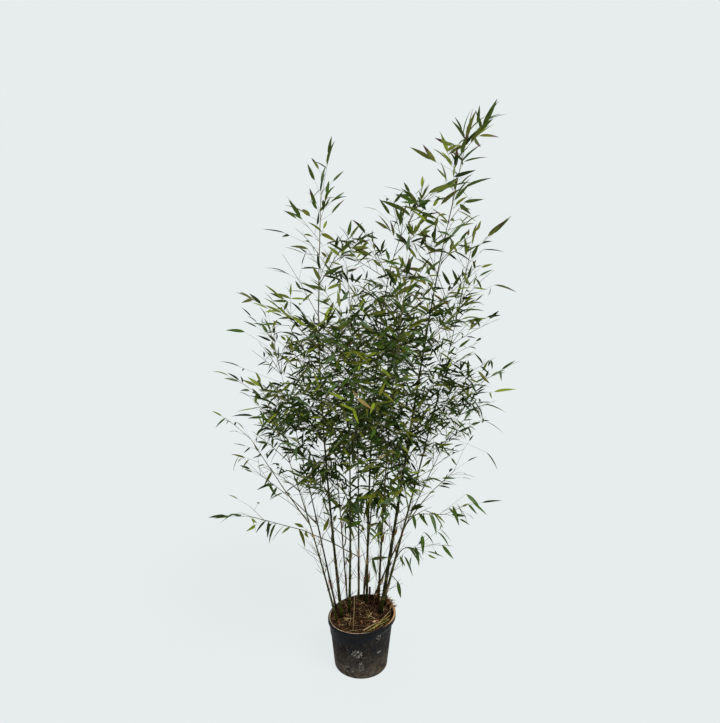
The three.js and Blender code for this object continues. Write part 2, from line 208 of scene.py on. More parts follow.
@dataclass
class CaneRow:
    name: str
    foot: tuple
    tip: tuple
    bend: float
    bow: float
    girth: float
    plume: float


CANES = [
    CaneRow("left_spire", (-84, -2), (-160, -30, 1660), 0.7, -46, 12, 215),
    CaneRow("right_spire", (78, 20), (316, -34, 1775), 0.86, -16, 14, 290),
    CaneRow("right_second", (88, 74), (392, 108, 1475), 0.8, 14, 10.5, 230),
    CaneRow("arching", (20, 95), (180, 62, 1790), 0.88, -120, 10, 80),
    CaneRow("far_left", (-108, 50), (-330, 110, 1190), 0.7, 10, 8, 170),
    CaneRow("front_left", (-102, -28), (-290, -235, 1030), 0.7, 18, 9, 160),
    CaneRow("front", (-53, 29), (-62, -290, 1300), 0.7, 24, 11, 170),
    CaneRow("back_left", (-62, 96), (-168, 330, 1230), 0.7, 12, 6.5, 130),
    CaneRow("back", (-14, 112), (-50, 360, 1440), 0.7, 26, 9, 150),
    CaneRow("back_right", (6, 115), (142, 340, 1350), 0.7, -24, 8, 140),
    CaneRow("far_right", (42, 106), (410, 150, 1010), 0.7, -16, 7.5, 150),
    CaneRow("front_right", (70, 84), (126, -250, 1400), 0.7, -20, 10, 170),
]
print("canes:", len(CANES))

# %% Sizes of the long low shoots and the rings of side shoots
BOUGH_ROOT = 3.2
BOUGH_END = 2
BOUGH_STEPS = 3


@dataclass
class BoughRow:
    name: str
    cane: str
    height: float
    end: tuple
    arch: float
    plume: float


@dataclass
class TierRow:
    name: str
    height: float
    count: int
    centre: tuple
    spread: tuple
    turn: float


BOUGHS = [
    BoughRow("low_left", "back", 380, (-365, -60, 635), 20, 85),
    BoughRow("middle_left", "far_left", 560, (-345, -40, 775), 10, 85),
    BoughRow("upper_left", "front_left", 660, (-405, 20, 880), -6, 85),
    BoughRow("low_right", "right_second", 400, (190, -10, 500), 18, 55),
    BoughRow("middle_right", "right_spire", 590, (262, -120, 690), 16, 70),
    BoughRow("rear_right", "far_right", 540, (340, 150, 715), 12, 80),
]
TIERS = [
    TierRow("lowest", 610, 3, (0, 10), (140, 130), 75),
    TierRow("low", 800, 4, (0, 0), (220, 215), 40),
    TierRow("middle", 985, 4, (10, 0), (205, 195), 5),
    TierRow("wide", 1105, 3, (45, 0), (355, 330), 20),
    TierRow("high", 1310, 3, (20, 0), (185, 150), 60),
    TierRow("reaching", 1410, 2, (30, 0), (300, 60), 10),
    TierRow("top", 1640, 3, (50, 0), (220, 70), -15),
]
print("masses:", len(CANES) + len(BOUGHS) + sum(tier.count for tier in TIERS))

# %% Sizes of the side shoots, twigs and sprays
STEM_ROOT = 3.6
STEM_END = 3
STEM_STEPS = 3
STEM_PAST_HEART = 60
STEM_CLEAR = 3
OWN_CLEAR = 1
HEART_SHARE = 0.6
JUST_BELOW = 0.01
RISE_LEAST = 0.3
RISE_MOST = 1.8
CHECK_EVERY = 14
CHECK_SKIP = 24
TWIGS_ON_PLUME = 3
TWIGS_ON_BOUGH = 2
TWIGS_ON_SIDE = 5
TWIG_RADIUS = 1.4
TWIG_LENGTH = 105
TWIG_FIRST = 0.25
TWIG_LAST = 0.9
TWIG_CHECKS = 10
TWIG_GOLDEN = 137.5
TWIG_LOOSE = 40
TWIG_LOW = 70
TWIG_HIGH = 30
TWIG_SWAY = 14
TWIG_VARY = 0.25
BLADE_LENGTH = 122
BLADE_WIDTH = 34
BLADE_BELLY = 0.32
BLADE_SUNK = 0.7
BLADE_DROOP = 0.08
BLADE_PLACES = (0.3, 0.65, 1)
BLADE_FAN = 46
BLADE_SWAY = 16
BLADE_ROLL = 75
BLADE_VARY = 0.15
BLADE_ROOM_LIMB = 2.5
BLADE_ROOM_BLADE = 13
BLADE_SPOTS = np.array((0.1, 0.22, 0.36, 0.52, 0.68, 0.84, 1))
LIFT_LOW = -0.3
LIFT_HIGH = 0.45
LIFT_FROM = 500
LIFT_TO = 1900
CUTS = (1, 0.8, 0.62)
SEED = 41
SEED_FACTOR = 2654435761
DRAW_FACTOR = 1664525
DRAW_STEP = 1013904223
DRAWS = 2**32
print("blades a shoot:", len(BLADE_PLACES))

# %% Small helpers for the rule
def seeded(seed):
    """Gives the same run of numbers from 0 to 1 for the same seed."""
    state = seed * SEED_FACTOR % DRAWS

    def draw():
        nonlocal state
        state = (state * DRAW_FACTOR + DRAW_STEP) % DRAWS
        return state / DRAWS

    return draw


def mix(low, high, share):
    return low + (high - low) * share


def mix_ranges(low, top, share, drawn):
    """A drawn value from a range that goes over from one to another."""
    least, most = (mix(*ends, share) for ends in zip(low, top))
    return mix(least, most, drawn)


def either_way(random):
    """A random number from -1 to 1."""
    return 2 * random() - 1


def pick(choices, random):
    return choices[int(random() * len(choices))]


def unit(direction):
    return direction / np.linalg.norm(direction)


def run_lengths(places):
    """How far along a shoot each of its places is."""
    return np.concatenate(([0], np.cumsum(np.linalg.norm(np.diff(places, axis=0), axis=1))))


def leaned(first, second, angle):
    """The direction at an angle from the first one, towards the second."""
    return first * math.cos(angle) + second * math.sin(angle)


def across(heading, up=UP):
    """Two directions across a heading: one level, and one on the upper side."""
    side = unit(np.cross(heading, up))
    return side, unit(np.cross(side, heading))


@dataclass
class Limb:
    name: str
    places: np.ndarray
    radii: np.ndarray
    twigs: int = 0
    heart: np.ndarray = None
    root_place: np.ndarray = None
    shoots: list = field(default_factory=list)
    blades: list = field(default_factory=list)

    @property
    def own_name(self):
        """The limb's name without its kind, as its row of sizes has it."""
        return self.name.split("_", 1)[1]


def line_of(start, end, arch, steps):
    """A shoot's places, from start to end on a shallow arch."""
    shares = np.linspace(0, 1, steps + 1)[:, None]
    return start + (end - start) * shares + UP * (arch * 4 * shares * (1 - shares))


draw_test = seeded(SEED)
print("first draws:", [round(draw_test(), 4) for _ in range(3)])

# %% Grow the canes
def cane_curve(row, share):
    """The place on a cane's curve at a share of its length."""
    start = np.array((*row.foot, SOIL_TOP + GAP))
    end = np.array(row.tip, float)
    shoulder = start + (end - start) * row.bend + np.array((row.bow, 0, 0))
    knee = start + (shoulder - start) * CANE_KNEE_SHARE
    rest = 1 - share
    return (start * rest**3 + knee * 3 * rest**2 * share + shoulder * 3 * rest * share**2 + end * share**3)


def cane_radius(row, share):
    return row.girth / 2 * mix(1, CANE_TIP_SHARE, share)


def slim_radius(row, share):
    """Stout at the foot, in old sheaths, and slimmer than the CAD rod towards the whippy tip."""
    stout = mix(FOOT_STOUT, 1, min(1, max(0, share) / FOOT_SHARE))
    return cane_radius(row, share) * stout * mix(1, SLIM_TIP, max(0, share) ** SLIM_POWER)


def cane_limb(row):
    start = np.array((*row.foot, SOIL_TOP + GAP))
    steps = math.floor(np.linalg.norm(np.array(row.tip) - start) / CANE_INTERNODE + 0.5)
    shares = [i / steps for i in range(steps + 1)]
    places = np.array([cane_curve(row, share) for share in shares])
    radii = np.array([cane_radius(row, share) for share in shares])
    return Limb("cane_" + row.name, places, radii)


canes = [cane_limb(row) for row in CANES]
print("rings on each cane:", [len(cane.places) for cane in canes])

# %% Grow the long low shoots
def point_at_height(limb, height):
    """The point on a limb at a height, with the limb's radius and heading there."""
    step = max(1, int(np.argmax(limb.places[:, 2] >= height)))
    before, after = limb.places[step - 1], limb.places[step]
    share = (height - before[2]) / (after[2] - before[2])
    radius = mix(limb.radii[step - 1], limb.radii[step], share)
    return mix(before, after, share), radius, unit(after - before)


def shoot_start(place, limb_radius, along, heading, radius):
    """Where a shoot starts, so that its upper corner is just clear of the limb it leaves."""
    lean = math.acos(np.clip(along @ heading, -1, 1))
    run = (limb_radius + GAP + radius * math.cos(lean)) / math.sin(lean)
    return place + heading * run


def bough_limb(row):
    parent = next(cane for cane in canes if cane.name == "cane_" + row.cane)
    place, limb_radius, along = point_at_height(parent, row.height)
    end = np.array(row.end, float)
    heading = end - place
    heading[2] += row.arch * 4 * (1 - 1 / BOUGH_STEPS)
    start = shoot_start(place, limb_radius, along, unit(heading), BOUGH_ROOT)
    places = line_of(start, end, row.arch, BOUGH_STEPS)
    radii = np.linspace(BOUGH_ROOT, BOUGH_END, BOUGH_STEPS + 1)
    return Limb("bough_" + row.name, places, radii, root_place=place)


boughs = [bough_limb(row) for row in BOUGHS]
print("long low shoots:", [bough.name for bough in boughs])

# %% Grow the stem of each mass
class Crowd:
    """The stretches of many limbs at once, for asking how near a point is to any of them."""

    def __init__(self, limbs):
        self.starts = np.concatenate([limb.places[:-1] for limb in limbs])
        self.runs = np.concatenate([np.diff(limb.places, axis=0) for limb in limbs])
        self.first = np.concatenate([limb.radii[:-1] for limb in limbs])
        self.last = np.concatenate([limb.radii[1:] for limb in limbs])

    def distance(self, points):
        """The distance from each point to the nearest limb's surface."""
        away = points[:, None, :] - self.starts
        shares = np.clip((away * self.runs).sum(2) / (self.runs**2).sum(1), 0, 1)
        gaps = np.linalg.norm(away - self.runs * shares[..., None], axis=2)
        return (gaps - mix(self.first, self.last, shares)).min(1)


def plume_mass(limb, length, twigs):
    """The leafy shoot that goes on from the end of a cane or a bough."""
    heading = unit(limb.places[-1] - limb.places[-2])
    start = limb.places[-1] + heading * GAP
    end = start + heading * length
    radii = np.linspace(min(STEM_ROOT, limb.radii[-1]), STEM_END, STEM_STEPS + 1)
    places = line_of(start, end, 0, STEM_STEPS)
    heart = mix(start, end, HEART_SHARE)
    return Limb("foliage_" + limb.own_name, places, radii, twigs, heart, limb.places[-1])


def side_mass(name, heart, limbs):
    """The side shoot to a heart, from the nearest ring that it can rise from clear of every limb."""
    rings = [(cane, place) for cane in canes for place in cane.places[1:-1]]
    rings.sort(key=lambda ring: np.linalg.norm(ring[1] - heart))
    for cane, ring in rings:
        place, limb_radius, along = point_at_height(cane, ring[2] - JUST_BELOW)
        heading = heart - place
        rise = heading[2] / math.hypot(heading[0], heading[1])
        if rise < RISE_LEAST or rise > RISE_MOST:
            continue
        heading = unit(heading)
        start = shoot_start(place, limb_radius, along, heading, STEM_ROOT)
        end = heart + heading * STEM_PAST_HEART
        runs = np.arange(0, np.linalg.norm(end - start), CHECK_EVERY)
        points = start + heading * runs[:, None]
        others = Crowd([limb for limb in limbs if limb is not cane])
        clear = others.distance(points).min() >= STEM_ROOT + STEM_CLEAR
        own = Crowd([cane]).distance(points)
        clear = clear and own[runs >= CHECK_SKIP].min() >= STEM_ROOT + STEM_CLEAR
        clear = clear and own[1:].min() > STEM_ROOT + OWN_CLEAR
        if clear:
            radii = np.linspace(STEM_ROOT, STEM_END, STEM_STEPS + 1)
            places = line_of(start, end, 0, STEM_STEPS)
            return Limb(name, places, radii, TWIGS_ON_SIDE, heart, place)
    raise ValueError("no cane carries " + name)


masses = [plume_mass(cane, row.plume, TWIGS_ON_PLUME) for cane, row in zip(canes, CANES)]
masses += [plume_mass(bough, row.plume, TWIGS_ON_BOUGH) for bough, row in zip(boughs, BOUGHS)]
for tier in TIERS:
    for i in range(tier.count):
        angle = math.radians(tier.turn + 360 * i / tier.count)
        x = tier.centre[0] + tier.spread[0] * math.cos(angle)
        y = tier.centre[1] + tier.spread[1] * math.sin(angle)
        heart = np.array((x, y, tier.height))
        masses.append(side_mass(f"foliage_{tier.name}_{i + 1}", heart, [*canes, *boughs, *masses]))
missing = {mass.name for mass in masses} - set(frame["nodes"])
print("masses:", len(masses), "not in the frame:", sorted(missing))

# %% Grow the twigs of each mass
hearts = np.array([mass.heart for mass in masses])


def inside_space(points, mass):
    """Whether every point is nearer to the mass's heart than to any other."""
    apart = hearts - mass.heart
    reach = np.linalg.norm(apart, axis=1)
    others = reach > 0
    middles = (hearts + mass.heart) / 2
    depth = ((points[:, None, :] - middles[others]) * (apart[others] / reach[others, None])).sum(2)
    return bool((depth < -GAP).all())


def grow_twigs(mass, crowd, random):
    start, end = mass.places[0], mass.places[-1]
    stem_heading = unit(mass.places[-1] - mass.places[-2])
    side, upper = across(stem_heading)
    for k in range(mass.twigs):
        share = mix(TWIG_FIRST, TWIG_LAST, k / (mass.twigs - 1))
        turn = math.radians(TWIG_GOLDEN * k + TWIG_LOOSE * random())
        open_angle = math.radians(mix(TWIG_LOW, TWIG_HIGH, share) + TWIG_SWAY * (random() - 0.5))
        length = TWIG_LENGTH * mix(1 - TWIG_VARY, 1 + TWIG_VARY, random())
        root = mix(start, end, share)
        heading = stem_heading * math.cos(open_angle)
        heading = heading + side * math.sin(open_angle) * math.cos(turn)
        heading = heading + upper * math.sin(open_angle) * math.sin(turn)
        for cut in CUTS:
            spots = line_of(root, root + heading * length * cut, 0, TWIG_CHECKS)
            if inside_space(spots, mass) and crowd.distance(spots).min() >= TWIG_RADIUS + OWN_CLEAR:
                places = np.array((root, root + heading * length * cut))
                mass.shoots.append(Limb("twig", places, np.full(2, float(TWIG_RADIUS))))
                break


crowds = []
for mass in masses:
    crowds.append(Crowd([*canes, *boughs, *(other for other in masses if other is not mass)]))
draws = [seeded(SEED + index) for index in range(len(masses))]
for mass, crowd, random in zip(masses, crowds, draws):
    grow_twigs(mass, crowd, random)
print("twigs:", sum(len(mass.shoots) for mass in masses))

# %% Find where the CAD model's large blades stand
@dataclass
class Blade:
    """A large blade of the CAD model. Here it is the space of one spray of small leaves."""

    root: np.ndarray
    tip: np.ndarray


def blade_shape(root, heading, roll, length):
    level, upper = across(heading)
    side = leaned(level, upper, roll)
    width = BLADE_WIDTH * math.sqrt(length / BLADE_LENGTH)
    belly = root + heading * length * BLADE_BELLY
    tip = root + heading * length - UP * BLADE_DROOP * length
    return tip, belly, belly - side * width / 2, belly + side * width / 2, width


def stands_near(spots, root, tip):
    run = tip - root
    shares = np.clip(((spots - root) @ run) / (run @ run), 0, 1)
    return (np.linalg.norm(spots - root - run * shares[:, None], axis=1) < BLADE_ROOM_BLADE).any()


def blade_fits(root, shape, mass, crowd, full_crowd, taken):
    tip, belly, left, right, width = shape
    if not inside_space(np.array((tip, left, right, root)), mass):
        return False
    spots = root + (tip - root) * BLADE_SPOTS[:, None]
    near_root = BLADE_SPOTS < BLADE_BELLY
    parts = np.where(near_root, BLADE_SPOTS / BLADE_BELLY, (1 - BLADE_SPOTS) / (1 - BLADE_BELLY))
    room = width / 2 * parts + BLADE_ROOM_LIMB
    if (crowd.distance(spots[near_root]) < room[near_root]).any():
        return False
    if (full_crowd.distance(spots[~near_root]) < room[~near_root]).any():
        return False
    own = np.array((belly, mix(belly, tip, 0.5), tip))
    for other_root, other_tip, other in taken:
        if stands_near(own, other_root, other_tip) or stands_near(other, root, tip):
            return False
    taken.append((root, tip, own))
    return True


def grow_blades(mass, crowd, random):
    lift = mix(LIFT_LOW, LIFT_HIGH, (mass.heart[2] - LIFT_FROM) / (LIFT_TO - LIFT_FROM))
    shoots = [mass, *mass.shoots]
    others = [*canes, *boughs, *(other for other in masses if other is not mass)]
    full_crowd = Crowd([*others, *shoots])
    taken = []
    for shoot in shoots:
        start, end = shoot.places[0], shoot.places[-1]
        along = unit(end - start)
        side, _ = across(along)
        for i, share in enumerate(BLADE_PLACES):
            size = mix(1 - BLADE_VARY, 1 + BLADE_VARY, random())
            turn = 0 if share == 1 else BLADE_FAN * (1 if i % 2 else -1)
            swing = math.radians(turn + BLADE_SWAY * (random() - 0.5))
            roll = math.radians(BLADE_ROLL * either_way(random))
            heading = unit(leaned(along, side, swing) + UP * lift)
            root = mix(start, end, share) - heading * BLADE_SUNK
            for cut in CUTS:
                length = BLADE_LENGTH * size * cut
                shape = blade_shape(root, heading, roll, length)
                if blade_fits(root, shape, mass, crowd, full_crowd, taken):
                    mass.blades.append(Blade(root, shape[0]))
                    break


for mass, crowd, random in zip(masses, crowds, draws):
    grow_blades(mass, crowd, random)
print("sprays:", sum(len(mass.blades) for mass in masses))

# %% [markdown]
# ## Making many small shapes at once
# A bamboo has thousands of leaves and hundreds of twigs. One Blender object for each would be slow
# and hard to handle. Here their corners and faces are gathered first and turned into one joined
# mesh of each kind. The rule works in millimetres, and the meshes are in metres, so the change of
# unit is made in one place, as a batch becomes a piece.

# %% Gather shapes into one piece
class Batch:
    """Gathers small shapes, in millimetres, that become one joined piece in metres."""

    def __init__(self):
        self.corners = []
        self.faces = []
        self.finishes = []
        self.count = 0

    def add(self, corners, faces, finishes=0):
        self.corners.append(corners)
        self.faces.extend(tuple(corner + self.count for corner in face) for face in faces)
        self.finishes.extend([finishes] * len(faces) if isinstance(finishes, int) else finishes)
        self.count += len(corners)

    def to_piece(self, name, paints):
        mesh = bpy.data.meshes.new(name)
        mesh.from_pydata((np.concatenate(self.corners) * MM).tolist(), [], self.faces)
        mesh.polygons.foreach_set("material_index", self.finishes)
        mesh.polygons.foreach_set("use_smooth", [True] * len(self.faces))
        for paint in paints:
            mesh.materials.append(paint)
        piece = bpy.data.objects.new(name, mesh)
        bpy.context.scene.collection.objects.link(piece)
        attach(piece, "root")
        mesh.calc_loop_triangles()
        print(name, "triangles:", len(mesh.loop_triangles))
        return piece


test_batch = Batch()
test_batch.add(np.eye(3), [(0, 1, 2)])
print("a batch with one triangle has", test_batch.count, "corners")

# %% A round shoot through any places
UPRIGHT = 0.7


def ring_frames(points):
    """Two directions across a shoot at each of its places."""
    headings = np.gradient(points, axis=0)
    headings /= np.linalg.norm(headings, axis=1, keepdims=True)
    upright = abs(headings[:, 2]).min() > UPRIGHT
    reference = BACK if upright else UP
    sides = np.cross(headings, reference)
    sides /= np.linalg.norm(sides, axis=1, keepdims=True)
    return sides, np.cross(sides, headings)


def ring_faces(rings, sides):
    """The faces between rings of corners, and one that closes each end."""
    faces = []
    for ring in range(rings - 1):
        for k in range(sides):
            low, high = ring * sides + k, ring * sides + (k + 1) % sides
            faces.append((low, high, high + sides, low + sides))
    faces.append(tuple(range(sides - 1, -1, -1)))
    faces.append(tuple((rings - 1) * sides + k for k in range(sides)))
    return faces


def tube(points, radii, sides):
    """Corners and faces of a closed round shoot through the points."""
    across_one, across_two = ring_frames(points)
    angles = 2 * math.pi * np.arange(sides) / sides
    circle = np.cos(angles)[None, :, None] * across_one[:, None, :]
    circle = circle + np.sin(angles)[None, :, None] * across_two[:, None, :]
    corners = (points[:, None, :] + np.asarray(radii)[:, None, None] * circle).reshape(-1, 3)
    return corners, ring_faces(len(points), sides)


test_corners, test_faces = tube(np.array(((0, 0, 0), (0, 0, 1.0))), (1, 1), 6)
print("a six-sided shoot has", len(test_corners), "corners and", len(test_faces), "faces")

# %% [markdown]
# ## Shader groups that several finishes share
# Plant surfaces drift in colour from patch to patch, carry fine lengthwise fibres, and gather dust.
# Each of these effects is a node group with named inputs, made once and placed in each material
# with its own values. A group only gives out colours, masks and heights. The Principled shader
# stays in the material, where its gloss can be read and changed.

# %% Short ways to add nodes
# Where a Mix node has its share and its two colours, among the sockets for other kinds of value
MIX_SOCKETS = (0, 6, 7)
MIX_RESULT = 2


class Nodes:
    """A node tree, with short ways to add nodes. A value is fixed, or an output socket to link."""

    def __init__(self, tree):
        self.tree = tree

    def feed(self, socket, value):
        if isinstance(value, bpy.types.NodeSocket):
            self.tree.links.new(value, socket)
        else:
            socket.default_value = value

    def feed_named(self, node, values):
        for label, value in values.items():
            self.feed(node.inputs[label.replace("_", " ")], value)
        return node

    def add(self, kind, *values, operation=None, **named):
        """A node, with values for its first sockets or for the ones named."""
        node = self.tree.nodes.new("ShaderNode" + kind)
        if operation:
            node.operation = operation
        for socket, value in zip(node.inputs, values):
            self.feed(socket, value)
        return self.feed_named(node, named)

    def maths(self, operation, *values):
        return self.add("Math", *values, operation=operation).outputs[0]

    def times(self, first, second):
        return self.maths("MULTIPLY", first, second)

    def minus(self, first, second):
        return self.maths("SUBTRACT", first, second)

    def clamped(self, value):
        """A value kept between 0 and 1."""
        return self.maths("MINIMUM", self.maths("MAXIMUM", value, 0.0), 1.0)

    def spread(self, value, gain, offset):
        """The middle values of a noise, spread out over 0 to 1."""
        return self.clamped(self.maths("MULTIPLY_ADD", value, gain, offset))

    def edge(self, value, sharpness):
        """0 where a value is below 0 and 1 well above it. The sharper, the sooner."""
        return self.clamped(self.times(value, sharpness))

    def mix(self, share, first, second):
        """A share of the second colour over the first."""
        node = self.tree.nodes.new("ShaderNodeMix")
        node.data_type = "RGBA"
        for index, value in zip(MIX_SOCKETS, (share, first, second)):
            self.feed(node.inputs[index], value)
        return node.outputs[MIX_RESULT]

    def vector(self, operation, *values):
        return self.add("VectorMath", *values, operation=operation).outputs

    def parts_of(self, vector):
        return self.add("SeparateXYZ", vector).outputs

    def squeezed(self, vector, level, upright):
        """A vector with its second and third parts made smaller, so that a noise runs along them."""
        shares = self.add("CombineXYZ", 1.0, level, upright)
        return self.vector("MULTIPLY", vector, shares.outputs[0])[0]

    def noise(self, vector, scale, **settings):
        return self.add("TexNoise", Vector=vector, Scale=scale, **settings).outputs["Fac"]


print("kinds of node so far:", sorted({node.bl_idname for node in floor_paint.node_tree.nodes}))

# %% Start a shader group
WHITE = (1.0, 1.0, 1.0, 1.0)
SOCKETS = {"number": "NodeSocketFloat", "colour": "NodeSocketColor", "vector": "NodeSocketVector"}


class Group(Nodes):
    """A shader group under way. Its inputs have the names and the first values that are given."""

    def __init__(self, name, outputs, **inputs):
        super().__init__(bpy.data.node_groups.new(name, "ShaderNodeTree"))
        for label, value in inputs.items():
            kind = "number" if isinstance(value, float) else "colour" if len(value) == 4 else "vector"
            self.add_socket(label.replace("_", " "), "INPUT", kind).default_value = value
        for label in outputs:
            self.add_socket(label, "OUTPUT", "colour" if label == "Colour" else "number")
        self.given = self.tree.nodes.new("NodeGroupInput").outputs
        self.result = self.tree.nodes.new("NodeGroupOutput").inputs
        self.coordinates = self.add("TexCoord").outputs
        self.place = self.coordinates["Object"]

    def add_socket(self, name, direction, kind):
        return self.tree.interface.new_socket(name=name, in_out=direction, socket_type=SOCKETS[kind])

    def give(self, **values):
        """Links what the group gives out, and hands over the finished group."""
        for label, value in values.items():
            self.feed(self.result[label], value)
        print("group:", self.tree.name)
        return self.tree


print("sockets that a group can have:", list(SOCKETS))

# %% Colour that drifts from patch to patch
def make_drift_group():
    group = Group(
        "colour_drift", ["Colour"],
        Main_Colour=WHITE, Other_Colour=WHITE, Patches_per_Metre=20.0, Amount=0.5,
    )
    patches = group.noise(group.place, group.given["Patches per Metre"], Detail=3.0)
    share = group.times(group.spread(patches, gain=3.0, offset=-1.0), group.given["Amount"])
    return group.give(Colour=group.mix(share, group.given["Main Colour"], group.given["Other Colour"]))


drift_group = make_drift_group()

# %% Fine fibres that run up a cane or a twig
def make_fibre_group():
    group = Group("fibres", ["Height", "Mask"], Fibres_per_Metre=900.0, Stretch=0.06)
    upright = group.squeezed(group.place, 1.0, group.given["Stretch"])
    streaks = group.noise(upright, group.given["Fibres per Metre"], Detail=2.0)
    return group.give(Height=streaks, Mask=group.spread(streaks, gain=4.0, offset=-1.6))


fibre_group = make_fibre_group()

# %% Rough grain, for soil, plastic and straw
def make_grain_group():
    group = Group("grain", ["Height"], Grains_per_Metre=400.0, Roughness=0.6)
    scale, roughness = group.given["Grains per Metre"], group.given["Roughness"]
    return group.give(Height=group.noise(group.place, scale, Detail=4.0, Roughness=roughness))


grain_group = make_grain_group()

# %% Veins along a leaf
def make_vein_group():
    """Veins follow the leaf's own map: the first part runs across the leaf, the second along it."""
    group = Group("leaf_veins", ["Height", "Midrib"], Veins=14.0, Midrib_Width=0.07)
    part_across = group.parts_of(group.coordinates["UV"])[0]
    waves = group.maths("SINE", group.times(part_across, group.times(group.given["Veins"], math.tau)))
    off_centre = group.maths("ABSOLUTE", group.minus(part_across, 0.5))
    midrib = group.maths("LESS_THAN", off_centre, group.given["Midrib Width"])
    return group.give(Height=waves, Midrib=midrib)


vein_group = make_vein_group()

# %% Start a material
class Paint(Nodes):
    """A material under way, with the sockets of its Principled shader."""

    def __init__(self, name, roughness, specular):
        self.material = bpy.data.materials.new(name)
        self.material.use_nodes = True
        super().__init__(self.material.node_tree)
        self.shader = self.tree.nodes["Principled BSDF"].inputs
        self.shader["Roughness"].default_value = roughness
        self.shader["Specular IOR Level"].default_value = specular

    def use(self, group, **values):
        """Puts a shader group in the material, with its own values, and returns what it gives out."""
        node = self.add("Group")
        node.node_tree = group
        return self.feed_named(node, values).outputs

    def drift(self, main, other, patches, amount=0.8):
        """A colour that drifts from patch to patch."""
        colours = {"Main_Colour": rgba(*main), "Other_Colour": rgba(*other)}
        return self.use(drift_group, **colours, Patches_per_Metre=patches, Amount=amount)["Colour"]

    def colour(self, output):
        self.feed(self.shader["Base Color"], output)

    def bump(self, height, strength, depth):
        """Bends the light by a height, in metres of depth."""
        node = self.add("Bump", Height=height, Strength=strength, Distance=depth)
        self.feed(self.shader["Normal"], node.outputs["Normal"])


def rough_paint(
    name, main, other, roughness, patches=70.0, amount=0.8, grains=900.0, depth=0.0003, specular=0.1
):
    """A plain rough finish: a drifting colour under a fine grain."""
    paint = Paint(name, roughness, specular)
    paint.colour(paint.drift(main, other, patches, amount))
    paint.bump(paint.use(grain_group, Grains_per_Metre=grains)["Height"], strength=0.6, depth=depth)
    return paint.material


print("materials so far:", [material.name for material in bpy.data.materials])

# %% [markdown]
# ## Canes
# A bamboo cane is a row of hollow lengths between rings. Each ring is double: the scar that a
# fallen sheath leaves, a groove, and the swollen ridge that the side shoots leave from. Just under
# it the skin has a pale waxy bloom. The skin itself is smooth and olive green, with darker blotches
# and faint fibres. The CAD canes are plain eight-sided rods. The new ones follow the same curves,
# with the rings' relief turned in and the rings and the bloom in colours of their own.

# %% Where the rings stand
LOW_RING_SPACE = 84
LOW_RING_TOP = 560


def ring_shares(row, cane):
    """The shares of a cane's length at which its rings stand. They are closer together low down."""
    count = len(cane.places) - 1
    first_high = next(i for i, place in enumerate(cane.places) if place[2] > LOW_RING_TOP)
    low_length = cane.places[first_high][2] - SOIL_TOP
    low_count = round(low_length / LOW_RING_SPACE)
    low = [first_high / count * i / low_count for i in range(low_count)]
    return low + [i / count for i in range(first_high, count)]


print("rings on the first cane:", [round(share, 2) for share in ring_shares(CANES[0], canes[0])])

# %% Shape a cane with the rings' relief
CANE_SIDES = 12
SKIN, BLOOM, RING = 0, 1, 2
RELIEF = (
    (-16, 0.0, SKIN), (-8, 0.05, BLOOM), (-2.6, 0.2, BLOOM), (-1.0, 0.85, RING), (0.4, 0.0, RING),
    (2.6, 0.75, RING), (6.5, 0.2, SKIN), (14, 0.0, SKIN),
)
WAIST = 0.965
FULL_RELIEF_GIRTH = 10
FOOT_DEPTH = 12


def cane_shape(row, cane):
    """Corners, faces and finishes of one cane."""
    length = np.linalg.norm(np.diff(cane.places, axis=0), axis=1).sum()
    shares = ring_shares(row, cane)
    stops = [(-FOOT_DEPTH / length, 0.0, SKIN)]
    for ring, share in enumerate(shares[1:], 1):
        stops.append(((shares[ring - 1] + share) / 2, None, SKIN))
        stops.extend((share + offset / length, rise, finish) for offset, rise, finish in RELIEF)
    stops.append((1.0, 0.0, SKIN))
    points = np.array([cane_curve(row, share) for share, _, _ in stops])
    slim = min(1.0, row.girth / FULL_RELIEF_GIRTH)
    radii = []
    for share, rise, _ in stops:
        radius = slim_radius(row, max(share, 0))
        radii.append(radius * WAIST if rise is None else radius + rise * slim)
    corners, faces = tube(points, radii, CANE_SIDES)
    bands = [finish for _, _, finish in stops[1:] for _ in range(CANE_SIDES)]
    return corners, faces, bands + [SKIN, SKIN]


corners, faces, bands = cane_shape(CANES[0], canes[0])
print("faces on the first cane:", len(faces), "of them in rings:", bands.count(RING))

# %% Finish of the canes
FIBRES_SHOW = 0.35


def cane_skin(name, main, other):
    """Smooth olive skin with darker blotches and faint lengthwise fibres."""
    paint = Paint(name, roughness=0.42, specular=0.06)
    fibres = paint.use(fibre_group, Fibres_per_Metre=700.0, Stretch=0.05)
    share = paint.times(fibres["Mask"], FIBRES_SHOW)
    paint.colour(paint.mix(share, paint.drift(main, other, patches=26.0), rgba(*other)))
    paint.bump(fibres["Height"], strength=0.35, depth=0.0003)
    return paint.material


cane_skins = [
    cane_skin("cane_skin_olive", (58, 63, 16), (22, 22, 8)),
    cane_skin("cane_skin_dark", (41, 46, 13), (16, 17, 7)),
    cane_skin("cane_skin_yellow", (70, 73, 21), (29, 28, 10)),
]
cane_bloom = rough_paint("cane_bloom", (80, 77, 40), (46, 42, 20), 0.7, patches=60.0, depth=0.0002)
cane_ring = rough_paint("cane_ring", (42, 32, 19), (24, 18, 12), 0.6, patches=90.0, depth=0.0004)
print("cane finishes:", [skin.name for skin in cane_skins])

# %% Build the canes
for index, (row, cane) in enumerate(zip(CANES, canes)):
    corners, faces, bands = cane_shape(row, cane)
    batch = Batch()
    batch.add(corners, faces, bands)
    piece = batch.to_piece(row.name + "_stem", [cane_skins[index % 3], cane_bloom, cane_ring])
    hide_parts(cane.name)

# %% [markdown]
# ## Long low shoots, side shoots and twigs
# Side shoots are much thinner than canes, with small rings of their own where the twigs leave. The
# long low ones, the stems of the masses and the twigs are olive to straw coloured, and the twigs are
# thinner still. They stay straight between their rings and turn a little at each, which gives the
# zigzag that a bamboo's fine growth has.

